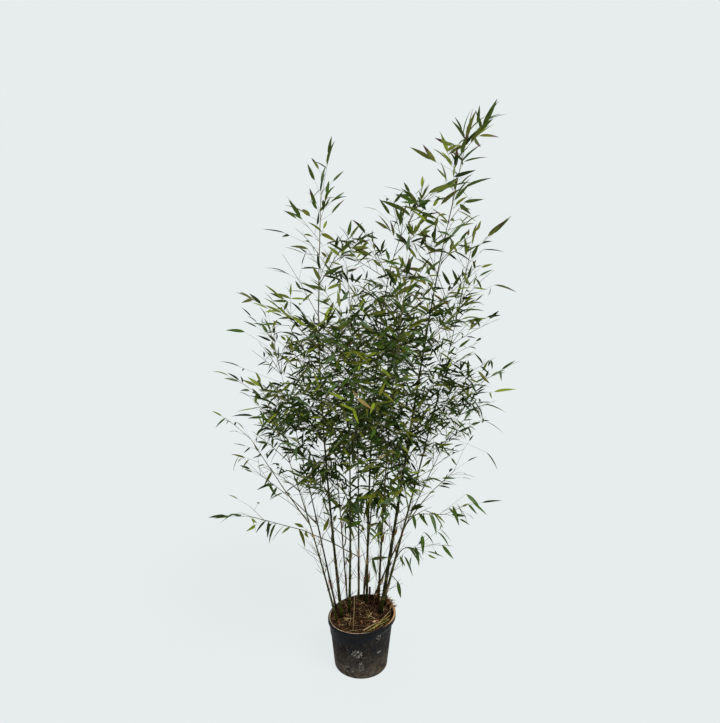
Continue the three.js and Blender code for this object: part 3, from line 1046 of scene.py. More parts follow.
# %% Shape a side shoot
SHOOT_SIDES = 6
SHOOT_RING_RISE = 0.28
SHOOT_RING_HALF = 1.6
ZIGZAG = 1.1
ZIGZAG_LEAST = 0.4


def shoot_shape(points, first, last, rings, random):
    """A tapering shoot with small rings, that turns a little at each of them."""
    lengths = run_lengths(points)
    stops, rises = [0.0], [0.0]
    half = SHOOT_RING_HALF / lengths[-1]
    for ring in range(1, rings + 1):
        at = ring / (rings + 1)
        stops += [at - 2 * half, at, at + half * 2]
        rises += [0.0, SHOOT_RING_RISE, 0.0]
    stops.append(1.0)
    rises.append(0.0)
    stops = np.array(stops)
    path = np.stack([np.interp(stops * lengths[-1], lengths, points[:, axis]) for axis in range(3)], axis=1)
    side, upper = across(unit(points[-1] - points[0]))
    for ring in range(rings):
        sway = ZIGZAG * (1 if ring % 2 else -1) * mix(ZIGZAG_LEAST, 1, random())
        path[1 + 3 * ring:4 + 3 * ring] += (side if ring % 3 else upper) * sway
    radii = mix(first, last, stops) + np.array(rises)
    return tube(path, radii, SHOOT_SIDES)


BOUGH_LOOK = (2.5, 1.3)
BOUGH_RINGS = 5
corners, faces = shoot_shape(boughs[0].places, *BOUGH_LOOK, BOUGH_RINGS, seeded(SEED))
print("faces on a long low shoot:", len(faces))

# %% Finish of the shoots and twigs
shoot_bark = rough_paint(
    "shoot_bark", (110, 102, 58), (72, 62, 38), 0.5, patches=40.0, grains=1200.0, depth=0.0002
)
twig_bark = rough_paint(
    "twig_bark", (98, 96, 56), (78, 67, 43), 0.55, patches=30.0, amount=0.9, grains=1500.0, depth=0.0002
)
print("bark finishes:", shoot_bark.name, twig_bark.name)

# %% Build the shoots and twigs
STEM_LOOK = (1.9, 0.9)
TWIG_LOOK = (0.85, 0.5)
TWIG_RINGS = 2
RING_SPACE = 55
SHOOT_SEED = SEED + 100

random = seeded(SHOOT_SEED)
for row, bough in zip(BOUGHS, boughs):
    batch = Batch()
    path = np.vstack((bough.root_place, bough.places))
    batch.add(*shoot_shape(path, *BOUGH_LOOK, BOUGH_RINGS, random))
    piece = batch.to_piece(row.name + "_shoot", [shoot_bark])
    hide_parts(bough.name)

stems = Batch()
twigs = Batch()
for mass in masses:
    path = np.vstack((mass.root_place, mass.places))
    length = np.linalg.norm(path[-1] - path[0])
    first = min(mass.radii[0], STEM_LOOK[0])
    stems.add(*shoot_shape(path, first, STEM_LOOK[1], max(2, round(length / RING_SPACE)), random))
    for shoot in mass.shoots:
        twigs.add(*shoot_shape(shoot.places, *TWIG_LOOK, TWIG_RINGS, random))
stem_piece = stems.to_piece("side_shoots", [shoot_bark])

# %% [markdown]
# ## Branches, stalks and leaves
# At its rings a bamboo cane sends out thin branches, by turns on one side and the other: one at a
# ring low down, up to six in the thick of the crown, and two in the open tops. They carry short stalks,
# and each stalk ends in one to three narrow leaves, set by turns on its left and right. The source
# stops at a few large blades for each mass. Here the rule goes on: each blade's place becomes a
# stalk whose last leaf ends at the blade's tip, the stems and twigs get stalks of their own, and
# the rings of the canes get their branches. What would stand outside the crown that the source's
# blades close round is left out, and so is what would hang into the open space over the pot. So
# the outline stays, and the sky shows where it did. The lone stalks round the outside are read off
# the photograph instead, and each leaves a limb of the plant. A few more, low down, are given one by
# one, near a cane or a long low shoot, and not all of them reach it.

# %% Sizes of the stalks and leaves
LEAF_LOW = (36, 66)
LEAF_TOP = (64, 102)
LEAF_GAIN = 2.4
LEAF_GAIN_LOW = 0.8
LEAF_LIFT = (-1.05, 0.2)
LIFT_GAIN = 0.7
LEAF_TURN = (26, 62)
LEAF_TURN_TOP = (30, 84)
LEAF_APART = 17
LEAF_BEND = (0.08, 0.6)
LEAF_ROLL = 78
LEAF_SWAY = 0.8
END_LEAF_LIFT = 0.7
GROWTH_LOW = 700
GROWTH_TOP = 1850
LOW_FROM = 860
LOW_FULL = 620
STALK_LENGTH = (18, 74)
STALK_LEAN = (30, 64)
STALK_TILT = 0.95
SHORT_STALKS = 1.5
END_STALK = 12
GAP_VARY = (0.7, 1.3)
REACH = 32
REACH_OF_BRANCH = 70
REACH_INSIDE = 85
REACH_OF_CANE = (56, 124)
REACH_OF_BOUGH = 62
CANE_REACH_LOWEST = 740
FLARE_FROM = 540
FLARE_TO = 850
FLARE = (90, 330)
NO_FLARE = 660
BOUGH_GAP = 34
BOUGH_BARE = 0.55
BOUGH_STALK = (8, 40)
CROWN_MIDDLE = 20
BOX_ROOM = 12


@dataclass
class Leaf:
    root: np.ndarray
    heading: np.ndarray
    normal: np.ndarray
    length: float
    bend: float
    tone: int
    stalk: int


def growth(height):
    """How far up the crown a height is, from 0 low down to 1 in the tops."""
    return min(1, max(0, (height - GROWTH_LOW) / (GROWTH_TOP - GROWTH_LOW)))


def lowness(height):
    """1 for the lowest leaves, which stand in the open by the pot, and 0 in the crown."""
    return min(1, max(0, (LOW_FROM - height) / (LOW_FROM - LOW_FULL)))


print("most leaves are", LEAF_LOW[0], "to", LEAF_TOP[1], "mm long")

# %% Choose a tone for each stalk's leaves
TONE_NAMES = ("deep", "mid", "olive", "bright", "grey", "dry")
MID = TONE_NAMES.index("mid")
GREY = TONE_NAMES.index("grey")
# Inside the crown most leaves are deep, partly as older leaves and partly as painted shade. The young
# shares, with more olive and bright leaves, are partly painted light, and the outside and lowest leaves
# lean towards them as painted light.
OLD_AND_SHADED_SHARES = np.array((0.74, 0.3, 0.05, 0.03, 0.1, 0.004))
YOUNG_AND_LIT_SHARES = np.array((0.1, 0.3, 0.3, 0.22, 0.05, 0.008))
LIT_OUTSIDE = 0.34
LIT_LOW = 1.1
GREY_OUTSIDE = 0.03
GREY_LOW = 0.25
CROWN_HALF = 300


def pick_tone(place, random):
    """Brighter tones at the top and round the outside, partly young leaves and partly painted light. Deeper
    tones inside the crown, partly older leaves and partly painted shade. The lowest leaves, under the
    crown, get brighter tones as painted light.
    """
    up = growth(place[2])
    out = min(1, math.hypot(place[0] - CROWN_MIDDLE, place[1]) / CROWN_HALF)
    low = lowness(place[2])
    shares = mix(OLD_AND_SHADED_SHARES, YOUNG_AND_LIT_SHARES, max(up, LIT_OUTSIDE * out, LIT_LOW * low))
    shares[GREY] += GREY_OUTSIDE * out + GREY_LOW * low
    draw = random() * shares.sum()
    for tone, share in enumerate(shares):
        draw -= share
        if draw < 0:
            return tone
    return 0


draw_test = seeded(SEED)
tones = [pick_tone(np.array((0, 0, 800)), draw_test) for _ in range(1000)]
print("low tones:", {name: tones.count(tone) for tone, name in enumerate(TONE_NAMES)})

# %% Grow stalks with their leaves
stalks = []
leaves = []


def leaf_normal(heading, random):
    """The direction that a leaf's upper face looks in: near upwards, with a random roll."""
    side, upper = across(heading)
    return leaned(upper, side, math.radians(LEAF_ROLL * either_way(random)))


def grow_leaf(root, heading, length, tone, random):
    bend = mix(*LEAF_BEND, random())
    leaves.append(Leaf(root, heading, leaf_normal(heading, random), length, bend, tone, len(stalks) - 1))


def leaf_length(height, random):
    """Leaves in the tops, and the lowest ones, are longer than those inside."""
    gain = max(growth(height)**LEAF_GAIN, LEAF_GAIN_LOW * lowness(height))
    return mix_ranges(LEAF_LOW, LEAF_TOP, gain, random())


def grow_stalk(start, end, count, tip, tone, random):
    """A stalk, with leaves by turns on its left and right and one that goes on from its end."""
    stalks.append((start, end))
    heading = unit(end - start)
    side, _ = across(heading)
    up = growth(end[2])
    hand = 1 if random() < 0.5 else -1
    rise = mix(*LEAF_LIFT, up**LIFT_GAIN)
    for k in range(count - 1):
        length = leaf_length(end[2], random)
        degrees = mix_ranges(LEAF_TURN, LEAF_TURN_TOP, up, random())
        turn = math.radians(degrees) * hand * (1 if k % 2 else -1)
        direction = unit(leaned(heading, side, turn) + UP * (rise + LEAF_SWAY * either_way(random)))
        root = end - heading * min(LEAF_APART * (k + 1), np.linalg.norm(end - start))
        grow_leaf(root, direction, length, tone, random)
    if tip is not None:
        grow_leaf(end, unit(tip - end), np.linalg.norm(tip - end), tone, random)
        return
    lift = rise * END_LEAF_LIFT + LEAF_SWAY * (random() - 0.5)
    grow_leaf(end, unit(heading + UP * lift), leaf_length(end[2], random), tone, random)


def dress_shoot(path, first_share, gap, counts, random, stalk=STALK_LENGTH):
    """Stalks by turns on the left and right of a shoot, and one at its end."""
    lengths = run_lengths(path)
    run = lengths[-1] * first_share + gap * random()
    hand = 1 if random() < 0.5 else -1
    while run < lengths[-1]:
        step = int(np.searchsorted(lengths, run)) - 1
        share = (run - lengths[step]) / (lengths[step + 1] - lengths[step])
        start = mix(path[step], path[step + 1], share)
        along = unit(path[step + 1] - path[step])
        side, upper = across(along)
        lean = math.radians(mix(*STALK_LEAN, random()))
        outward = unit(side * hand + upper * (STALK_TILT * either_way(random)))
        end = start + leaned(along, outward, lean) * mix(*stalk, random() ** SHORT_STALKS)
        grow_stalk(start, end, pick(counts, random), None, pick_tone(end, random), random)
        hand = -hand
        run += gap * mix(*GAP_VARY, random())
    end = path[-1] + unit(path[-1] - path[-2]) * END_STALK
    grow_stalk(path[-1], end, counts[-1], None, pick_tone(end, random), random)


print("stalks are", STALK_LENGTH[0], "to", STALK_LENGTH[1], "mm long")

# %% Grow the stalks of the masses
TOP_GAPS = {"left_spire": 30, "right_spire": 15, "right_second": 34, "arching": 44}
BOUGH_NAMES = {row.name for row in BOUGHS}
LONE_MASSES = {*TOP_GAPS, *BOUGH_NAMES}
TIER_GAPS = {"top": 120, "reaching": 60, "high": 74, "wide": 64, "middle": 48, "low": 50, "lowest": 64}
PLUME_GAP = 34
SPRAY_END_LEAF = (0.38, 0.54)
SPRAY_END_LEAF_TOP = (0.48, 0.66)
SPRAY_BARE = 0.25
STALK_SEED = SEED + 200
BOUGH_STALK_SEED = SEED + 450


def spray_leaves(mass):
    """How many leaves a blade's place gets, and how far apart the other stalks stand."""
    kind = mass.own_name
    if kind in BOUGH_NAMES:
        return (2, 3), 0
    if kind in TOP_GAPS:
        return (3, 3) if kind == "right_spire" else (2, 2), TOP_GAPS[kind]
    tier = kind.rsplit("_", 1)[0]
    if tier in ("top", "high"):
        return (1, 2), TIER_GAPS[tier]
    if kind in {row.name for row in CANES}:
        return (2, 2), PLUME_GAP
    return (2, 3), TIER_GAPS[tier]


on_boughs = set()
for index, mass in enumerate(masses):
    random = seeded(STALK_SEED + index)
    counts, gap = spray_leaves(mass)
    first = len(stalks)
    for blade in mass.blades:
        run = blade.tip - blade.root
        end_share = mix_ranges(SPRAY_END_LEAF, SPRAY_END_LEAF_TOP, growth(blade.tip[2]), random())
        end = blade.tip - unit(run) * min(LEAF_TOP[1], end_share * np.linalg.norm(run))
        grow_stalk(blade.root, end, counts[0], blade.tip, pick_tone(blade.tip, random), random)
    for shoot in (mass, *mass.shoots):
        if gap:
            dress_shoot(shoot.places, SPRAY_BARE, gap, (counts[1] - 1, counts[1], counts[1]), random)
    if mass.own_name in BOUGH_NAMES:
        on_boughs.update(range(first, len(stalks)))
random = seeded(BOUGH_STALK_SEED)
first = len(stalks)
for bough in boughs:
    dress_shoot(bough.places, BOUGH_BARE, BOUGH_GAP, (1, 2, 2), random, BOUGH_STALK)
on_boughs.update(range(first, len(stalks)))
print("stalks:", len(stalks), "leaves:", len(leaves))

# %% Grow the branches at the rings
BRANCH_LOWEST = 500
BRANCH_LEAN = (32, 50)
BRANCH_LENGTH = (90, 270)
BRANCH_TURNS = (-38, 26, 140, 215, -95, 80)
BRANCH_SHARES = (1, 0.8, 0.6, 0.5, 0.45, 0.4)
BRANCH_VARY = (0.8, 1.2)
BRANCH_SWAY = 30
BRANCH_ARCH = 9
BRANCH_GAP = 16
BRANCH_GAP_GROWS = 1.6
BRANCH_STEPS = 5
BRANCH_STEPS_LEAST = 3
BRANCH_BARE = 0.2
LENGTH_FROM = 400
LENGTH_SPAN = 1500
LENGTH_LEAST = 0.12
CURVE_STEP = 0.01
POINTS_AT_ONCE = 500
BRANCH_SEED = SEED + 500
SPARSE_ABOVE = 1300
BRANCH_COUNTS = ((640, 1), (780, 2), (920, 3), (1040, 6), (1400, 4), (2000, 2))
branches = []

reach_limbs = [Limb("bough", bough.places, np.full(len(bough.places), REACH_OF_BOUGH)) for bough in boughs]
for cane in canes:
    high = cane.places[cane.places[:, 2] > CANE_REACH_LOWEST]
    reach_limbs.append(Limb("cane", high, np.array([mix(*REACH_OF_CANE, growth(z)) for z in high[:, 2]])))
for mass in masses:
    reach_limbs += [mass, *mass.shoots]
    reach_limbs += [Limb("blade", np.array((blade.root, blade.tip)), np.zeros(2)) for blade in mass.blades]
    if mass.own_name in LONE_MASSES:
        continue
    for blade in mass.blades:
        middle = np.array((CROWN_MIDDLE, 0.0, blade.root[2]))
        reach_limbs.append(Limb("spoke", np.array((middle, blade.root)), np.array((REACH_INSIDE, 0.0))))
reach = Crowd(reach_limbs)


def out_of_crown(points):
    """How far points stand from the masses, or from the crown's inside that they close round."""
    parts = np.array_split(points, 1 + len(points) // POINTS_AT_ONCE)
    return np.concatenate([reach.distance(part) for part in parts])


def grow_branch(place, along, azimuth, length, random):
    side, upper = across(along, BACK)
    lean = math.radians(mix(*BRANCH_LEAN, random()))
    heading = leaned(along, leaned(side, upper, azimuth), lean)
    path = line_of(place, place + heading * length, BRANCH_ARCH, BRANCH_STEPS)
    inside = out_of_crown(path) < REACH_OF_BRANCH
    steps = BRANCH_STEPS + 1 if inside.all() else int(np.argmin(inside))
    if steps >= BRANCH_STEPS_LEAST:
        branches.append(path[:steps])
        gap = BRANCH_GAP * (1 + BRANCH_GAP_GROWS * growth(place[2]) ** 2)
        counts = (1, 2, 2) if place[2] > SPARSE_ABOVE else (2, 3, 3)
        dress_shoot(path[:steps], BRANCH_BARE, gap, counts, random)


for index, (row, cane) in enumerate(zip(CANES, canes)):
    random = seeded(BRANCH_SEED + index)
    azimuth = math.tau * random()
    shares = [i / (len(cane.places) - 1) for i in range(1, len(cane.places))]
    for share, place in zip(shares, cane.places[1:]):
        if place[2] < BRANCH_LOWEST:
            continue
        along = unit(cane_curve(row, min(1, share + CURVE_STEP)) - cane_curve(row, share - CURVE_STEP))
        azimuth += math.pi + math.radians(BRANCH_SWAY * either_way(random))
        up_crown = min(1, max(LENGTH_LEAST, (place[2] - LENGTH_FROM) / LENGTH_SPAN))
        length = mix(*BRANCH_LENGTH, math.sin(math.pi * up_crown)) * mix(*BRANCH_VARY, random())
        count = next(number for top, number in BRANCH_COUNTS if place[2] < top)
        for turn, part in zip(BRANCH_TURNS[:count], BRANCH_SHARES):
            grow_branch(place, along, azimuth + math.radians(turn), length * part, random)
print("branches:", len(branches), "stalks:", len(stalks), "leaves:", len(leaves))

# %% Turn pixels of the photograph into places
EYE = np.array(CAMERA_PLACE) / MM
DOWN_COS = math.cos(math.radians(CAMERA_DOWN))
DOWN_SIN = math.sin(math.radians(CAMERA_DOWN))


def pixels_of(places):
    """The pixels at which the camera sees some places."""
    away = places - EYE
    depth = away[:, 1] * DOWN_COS - away[:, 2] * DOWN_SIN
    up = away[:, 1] * DOWN_SIN + away[:, 2] * DOWN_COS
    right_of_middle = FOCAL_PIXELS * away[:, 0] / depth
    above_middle = FOCAL_PIXELS * up / depth
    return np.stack((PICTURE_WIDTH / 2 + right_of_middle, PICTURE_HEIGHT / 2 - above_middle), axis=1)


def place_seen(pixel, y):
    """The place that the camera sees at a pixel, on the upright plane at y."""
    right = (pixel[0] - PICTURE_WIDTH / 2) / FOCAL_PIXELS
    above = (PICTURE_HEIGHT / 2 - pixel[1]) / FOCAL_PIXELS
    back = y - EYE[1]
    up = back * (above * DOWN_COS - DOWN_SIN) / (DOWN_COS + above * DOWN_SIN)
    depth = back * DOWN_COS - up * DOWN_SIN
    return np.array((EYE[0] + right * depth, y, EYE[2] + up))


print("pixel of the pot's middle:", pixels_of(np.zeros((1, 3)))[0].round(1))

# %% Lone stalks that the photograph shows
LINE_STEPS = 400


@dataclass
class LoneStalk:
    """The pixels of a stalk's ends and of its last leaf's tip, and how far behind its limb that is."""

    limb: str
    start_pixel: tuple
    end_pixel: tuple
    leaves: int
    tip_pixel: tuple
    behind: float


LONE_STALKS = (
    LoneStalk("right_spire", (449, 172), (432, 160), 2, (410, 146), -20),
    LoneStalk("right_spire", (452, 190), (446, 183), 1, (444, 160), -20),
    LoneStalk("right_spire", (462, 148), (452, 146), 3, (434, 137), -10),
    LoneStalk("right_spire", (468, 135), (462, 130), 3, (455, 116), -10),
    LoneStalk("right_spire", (476, 125), (484, 122), 2, (507, 109), 10),
    LoneStalk("right_spire", (470, 140), (479, 136), 2, (501, 134), 0),
    LoneStalk("right_spire", (457, 170), (464, 162), 2, (488, 154), 20),
    LoneStalk("right_spire", (456, 195), (464, 188), 2, (490, 174), 0),
    LoneStalk("right_spire", (455, 210), (464, 202), 2, (484, 199), -20),
    LoneStalk("right_spire", (454, 232), (465, 225), 2, (478, 211), -20),
    LoneStalk("right_second", (460, 262), (483, 250), 2, (505, 249), -20),
    LoneStalk("right_second", (455, 300), (494, 285), 2, (518, 288), -20),
    LoneStalk("arching", (420, 205), (404, 192), 1, (383, 184), 0),
    LoneStalk("arching", (395, 230), (378, 211), 1, (363, 203), 0),
    LoneStalk("arching", (392, 240), (388, 229), 3, (374, 219), -20),
    LoneStalk("arching", (392, 240), (394, 228), 2, (398, 214), -20),
    LoneStalk("left_spire", (320, 222), (306, 214), 2, (285, 201), 0),
    LoneStalk("left_spire", (318, 250), (285, 233), 2, (262, 228), -20),
    LoneStalk("left_spire", (317, 290), (286, 273), 2, (266, 262), 20),
    LoneStalk("far_left", (300, 330), (268, 309), 2, (251, 300), 0),
    LoneStalk("far_left", (280, 385), (240, 367), 2, (221, 358), 0),
    LoneStalk("far_left", (282, 350), (245, 332), 1, (224, 328), 0),
    LoneStalk("upper_left", (230, 424), (226, 418), 2, (213, 427), 0),
    LoneStalk("middle_left", (242, 460), (240, 455), 2, (229, 470), 0),
    LoneStalk("right_second", (455, 400), (494, 392), 2, (517, 387), 0),
    LoneStalk("right_second", (455, 408), (483, 404), 2, (508, 408), -30),
    LoneStalk("far_right", (450, 425), (485, 421), 2, (506, 430), -30),
    LoneStalk("far_right", (455, 440), (486, 452), 1, (501, 468), -30),
    LoneStalk("middle_right", (440, 500), (466, 494), 1, (484, 509), 0),
)


def limb_line(name):
    """Places close together on a cane or a long low shoot, and on the leafy shoot at its end."""
    limbs = [limb for limb in (*canes, *boughs, *masses) if limb.own_name == name]
    ends = np.vstack([limb.places for limb in limbs])
    steps = np.linspace(0, len(ends) - 1, LINE_STEPS)
    return np.stack([np.interp(steps, range(len(ends)), ends[:, axis]) for axis in range(3)], axis=1)


def stalk_places(row):
    """A lone stalk's start on its limb, its end, and the tip of its last leaf."""
    line = limb_line(row.limb)
    start = line[np.linalg.norm(pixels_of(line) - row.start_pixel, axis=1).argmin()]
    end = place_seen(row.end_pixel, start[1] + row.behind / 2)
    return start, end, place_seen(row.tip_pixel, start[1] + row.behind)


lone_lengths = [math.dist(*stalk_places(row)[:2]) for row in LONE_STALKS]
print("lone stalks:", len(LONE_STALKS), "longest", round(max(lone_lengths)), "mm")

# %% Low stalks, listed one by one
@dataclass
class LowStalk:
    """A stalk's ends and the tip of its last leaf, in millimetres."""

    start: tuple
    end: tuple
    leaves: int
    tip: tuple


LOW_STALKS = (
    LowStalk((88, 18, 372), (146, 4, 350), 1, (160, -4, 270)),
    LowStalk((86, 19, 352), (104, -6, 390), 1, (162, -22, 362)),
    LowStalk((92, 16, 440), (172, 10, 456), 2, (214, -6, 376)),
    LowStalk((24, 98, 372), (44, 66, 420), 2, (60, 20, 360)),
    LowStalk((-54, 26, 420), (-76, -14, 470), 2, (-104, -52, 430)),
    LowStalk((200, -10, 500), (218, -4, 488), 1, (251, -10, 444)),
    LowStalk((206, -10, 503), (228, -14, 516), 2, (252, -12, 552)),
    LowStalk((222, -12, 510), (246, -22, 574), 2, (298, -30, 534)),
    LowStalk((240, -14, 520), (308, -40, 594), 2, (358, -50, 548)),
    LowStalk((240, -14, 520), (318, -38, 526), 1, (366, -48, 470)),
    LowStalk((300, -148, 712), (352, -150, 744), 3, (384, -150, 690)),
    LowStalk((300, -148, 712), (410, -150, 748), 2, (470, -150, 700)),
    LowStalk((150, -60, 640), (196, -62, 664), 1, (220, -60, 590)),
)
print("low stalks:", len(LOW_STALKS))

# %% Leave out what stands out of reach, and add the lone and the low stalks
LONE_SEED = SEED + 470
STALK_LOOK = (0.6, 0.4)
STALK_SIDES = 3
BRANCH_LOOK = (1.3, 0.6)
BRANCH_RINGS = 3

low_corner = np.array(cad_box[0]) / MM - BOX_ROOM
high_corner = np.array(cad_box[1]) / MM + BOX_ROOM
tips = np.array([leaf.root + leaf.heading * leaf.length for leaf in leaves])
in_box = ((tips > low_corner) & (tips < high_corner)).all(1)
in_reach = out_of_crown(tips) < REACH
heights = (FLARE_FROM, FLARE_TO, FLARE_TO + 1)
flare = np.interp(tips[:, 2], heights, (*FLARE, NO_FLARE))
free = np.array([leaf.stalk in on_boughs for leaf in leaves])
in_flare = (np.hypot(tips[:, 0] - CROWN_MIDDLE, tips[:, 1]) < flare) | free
leaves = [leaf for leaf, kept in zip(leaves, in_box & in_reach & in_flare) if kept]
random = seeded(LONE_SEED)
for row in LOW_STALKS:
    start, end, tip = (np.array(place, float) for place in (row.start, row.end, row.tip))
    grow_stalk(start, end, row.leaves, tip, MID, random)
for row in LONE_STALKS:
    start, end, tip = stalk_places(row)
    grow_stalk(start, end, row.leaves, tip, pick_tone(tip, random), random)
kept_stalks = sorted({leaf.stalk for leaf in leaves})
for stalk in kept_stalks:
    twigs.add(*tube(np.array(stalks[stalk]), STALK_LOOK, STALK_SIDES))
for path in branches:
    twigs.add(*shoot_shape(path, *BRANCH_LOOK, BRANCH_RINGS, random))
twig_piece = twigs.to_piece("twigs", [twig_bark])
print("leaves kept:", len(leaves), "stalks kept:", len(kept_stalks))

# %% Shape all the leaves of one tone
LEAF_STATIONS = np.array((0.0, 0.05, 0.18, 0.38, 0.62, 0.84))
LEAF_HALF_WIDTHS = np.array((0.05, 0.3, 0.86, 1.0, 0.76, 0.36))
LEAF_SLIM = (0.08, 0.088)
LEAF_BROAD_LOW = 0.014
LEAF_FOLD = 0.28


def leaf_faces():
    """The faces of one leaf: a pair between each two stations, and a pair at the tip."""
    faces = []
    for station in range(len(LEAF_STATIONS) - 1):
        low = station * 3
        faces += [(low, low + 1, low + 4, low + 3), (low + 1, low + 2, low + 5, low + 4)]
    last = (len(LEAF_STATIONS) - 1) * 3
    return faces + [(last, last + 1, last + 3), (last + 1, last + 2, last + 3)]


def leaf_corners(leaf):
    """A leaf's corners, on an arc that bends towards its under side."""
    angles = leaf.bend * np.append(LEAF_STATIONS, 1.0)
    forward = np.sin(angles) / leaf.bend * leaf.length
    down = (1 - np.cos(angles)) / leaf.bend * leaf.length
    middles = leaf.root + forward[:, None] * leaf.heading - down[:, None] * leaf.normal
    normals = np.cos(angles)[:, None] * leaf.normal + np.sin(angles)[:, None] * leaf.heading
    side = np.cross(leaf.heading, leaf.normal)
    slim = mix(*LEAF_SLIM, growth(leaf.root[2])) + LEAF_BROAD_LOW * lowness(leaf.root[2])
    half = LEAF_HALF_WIDTHS * slim * leaf.length
    lifted = middles[:-1] + normals[:-1] * (half * LEAF_FOLD)[:, None]
    left = lifted - side * half[:, None]
    right = lifted + side * half[:, None]
    stations = np.stack((left, middles[:-1], right), axis=1).reshape(-1, 3)
    return np.vstack((stations, middles[-1]))


one_leaf_faces = leaf_faces()
across_parts = np.tile((0.0, 0.5, 1.0), len(LEAF_STATIONS))
leaf_map = np.stack((np.append(across_parts, 0.5), np.append(np.repeat(LEAF_STATIONS, 3), 1.0)), axis=1)
print("faces on a leaf:", len(one_leaf_faces))

# %% Finish of the leaves
MIDRIB = (128, 142, 84)
MIDRIB_SHOWS = 0.3
UNDER_SHOWS = 0.75


def leaf_paint(name, main, other, under):
    """Satin leaf: drifting green, a paler midrib, fine veins, and a paler under side."""
    paint = Paint(name, roughness=0.55, specular=0.025)
    veins = paint.use(vein_group, Veins=9.0, Midrib_Width=0.05)
    midrib_share = paint.times(veins["Midrib"], MIDRIB_SHOWS)
    upper = paint.mix(midrib_share, paint.drift(main, other, patches=18.0), rgba(*MIDRIB))
    under_share = paint.times(paint.add("NewGeometry").outputs["Backfacing"], UNDER_SHOWS)
    paint.colour(paint.mix(under_share, upper, rgba(*under)))
    paint.bump(veins["Height"], strength=0.25, depth=0.0002)
    return paint.material


# Leaf finishes by tone. The deep finish is darkened partly as painted shade for leaves inside the crown,
# and the bright finish is lightened partly as painted light for the top and the outside.
leaf_paints = [
    leaf_paint("leaf_deep", (28, 45, 7), (9, 18, 3), (44, 60, 24)),
    leaf_paint("leaf_mid", (61, 86, 25), (38, 57, 15), (82, 98, 44)),
    leaf_paint("leaf_olive", (101, 105, 29), (72, 76, 20), (110, 114, 56)),
    leaf_paint("leaf_bright", (124, 138, 36), (95, 110, 28), (128, 138, 66)),
    leaf_paint("leaf_grey", (82, 104, 62), (60, 80, 50), (108, 126, 92)),
    leaf_paint("leaf_dry", (150, 128, 76), (112, 90, 52), (158, 138, 92)),
]
bronze = rough_paint(
    "leaf_bronze_tip", (92, 62, 48), (66, 42, 38), 0.5, patches=60.0, depth=0.0001, specular=0.3
)
print("leaf finishes:", [paint.name for paint in leaf_paints])

# %% Build the leaves
BRONZE_HEIGHT = 1520
BRONZE_SHARE = 0.22
BRONZE_FACES = 4
BRONZE_SEED = SEED + 300

random = seeded(BRONZE_SEED)
mass_names = [mass.name for mass in masses]
for tone, tone_name in enumerate(TONE_NAMES):
    batch = Batch()
    for leaf in (leaf for leaf in leaves if leaf.tone == tone):
        finishes = [0] * len(one_leaf_faces)
        if leaf.root[2] > BRONZE_HEIGHT and random() < BRONZE_SHARE:
            finishes[-BRONZE_FACES:] = [1] * BRONZE_FACES
        batch.add(leaf_corners(leaf), one_leaf_faces, finishes)
    piece = batch.to_piece("leaves_" + tone_name, [leaf_paints[tone], bronze])
    corner_index = np.zeros(len(piece.data.loops), dtype=int)
    piece.data.loops.foreach_get("vertex_index", corner_index)
    layer = piece.data.uv_layers.new(name="leaf_map")
    layer.data.foreach_set("uv", leaf_map[corner_index % len(leaf_map)].ravel())
    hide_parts(*mass_names)
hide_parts(*mass_names)
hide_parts(*mass_names)

# %% [markdown]
# ## The pot
# It is a plain round nursery pot of thin dark plastic. Its wall flares a little, steps out into a
# deep collar, and ends in a rolled lip. A turned outline, spun round the middle, is how such a pot
# is made, and it is the simplest way to shape it here. The CAD pot is a 36-sided spin of nearly the
# same outline. This one has finer steps, rounded edges and a collar that is less deep, 45 mm in
# place of 66. Like the CAD pot it stands a little out of true, with the right side drawn up. Its
# collar also reaches deeper on the left than on the right, its foot stands a few millimetres to
# the left, and its mouth is gently out of round, as soft pots are.

# %% Turn the pot
POT_HEIGHT = 212
POT_RIM = 140
POT_BASE = 109
POT_WALL = 3.5
POT_FLOOR = 5
LIP_HEIGHT = 18
LIP_PROUD = 5
COLLAR_HEIGHT = 45
COLLAR_TOP = 134.5
COLLAR_FOOT = 130
COLLAR_STEP = 3
FOOT_INSET = 6
FLOOR_INSET = 9
LEDGE_DROP = 3
LIP_LEDGE = 2
INNER_LEDGE = (2, 4)
EDGE_ROUND = 2.6
ROUND_ROOM = 2.2
ROUND_STEPS = 4
POT_SEGMENTS = 120
SLANT_LEVEL = 60
SLANT_RISE = 13
COLLAR_TWIST = 22
POT_LEAN = 4.5
DENTS = 1.6
DENT_WAVES = 3
DENT_TURN = 0.6


def rounded(outline, radius):
    """An outline with each of its inner corners cut to a small arc."""
    points = [np.array(point, float) for point in outline]
    smooth = [points[0]]
    for before, corner, after in zip(points, points[1:], points[2:]):
        shorter = min(np.linalg.norm(corner - before), np.linalg.norm(after - corner))
        room = min(radius, shorter / ROUND_ROOM)
        start = corner + unit(before - corner) * room
        end = corner + unit(after - corner) * room
        for step in range(ROUND_STEPS + 1):
            share = step / ROUND_STEPS
            smooth.append(mix(mix(start, corner, share), mix(corner, end, share), share))
    smooth.append(points[-1])
    return smooth


def turned(outline, segments):
    """An outline of radius and height, spun round the upright axis, with both ends closed."""
    angles = 2 * math.pi * np.arange(segments) / segments
    rings = []
    for radius, height in outline:
        level = np.full(segments, height)
        rings.append(np.stack((radius * np.cos(angles), radius * np.sin(angles), level), axis=1))
    return np.concatenate(rings), ring_faces(len(outline), segments)


def up_wall(z):
    """0 where the pot stands true, low down, and 1 at its mouth."""
    return np.clip((z - SLANT_LEVEL) / (POT_HEIGHT - SLANT_LEVEL), 0, 1)


def slant(x, z):
    """How far the pot's wall is drawn up, or has sagged, at a place."""
    by_collar = np.interp(z, (SLANT_LEVEL, POT_HEIGHT - COLLAR_HEIGHT, POT_HEIGHT - LIP_HEIGHT), (0, 1, 0))
    return (SLANT_RISE * up_wall(z) + COLLAR_TWIST * by_collar) * x / POT_RIM


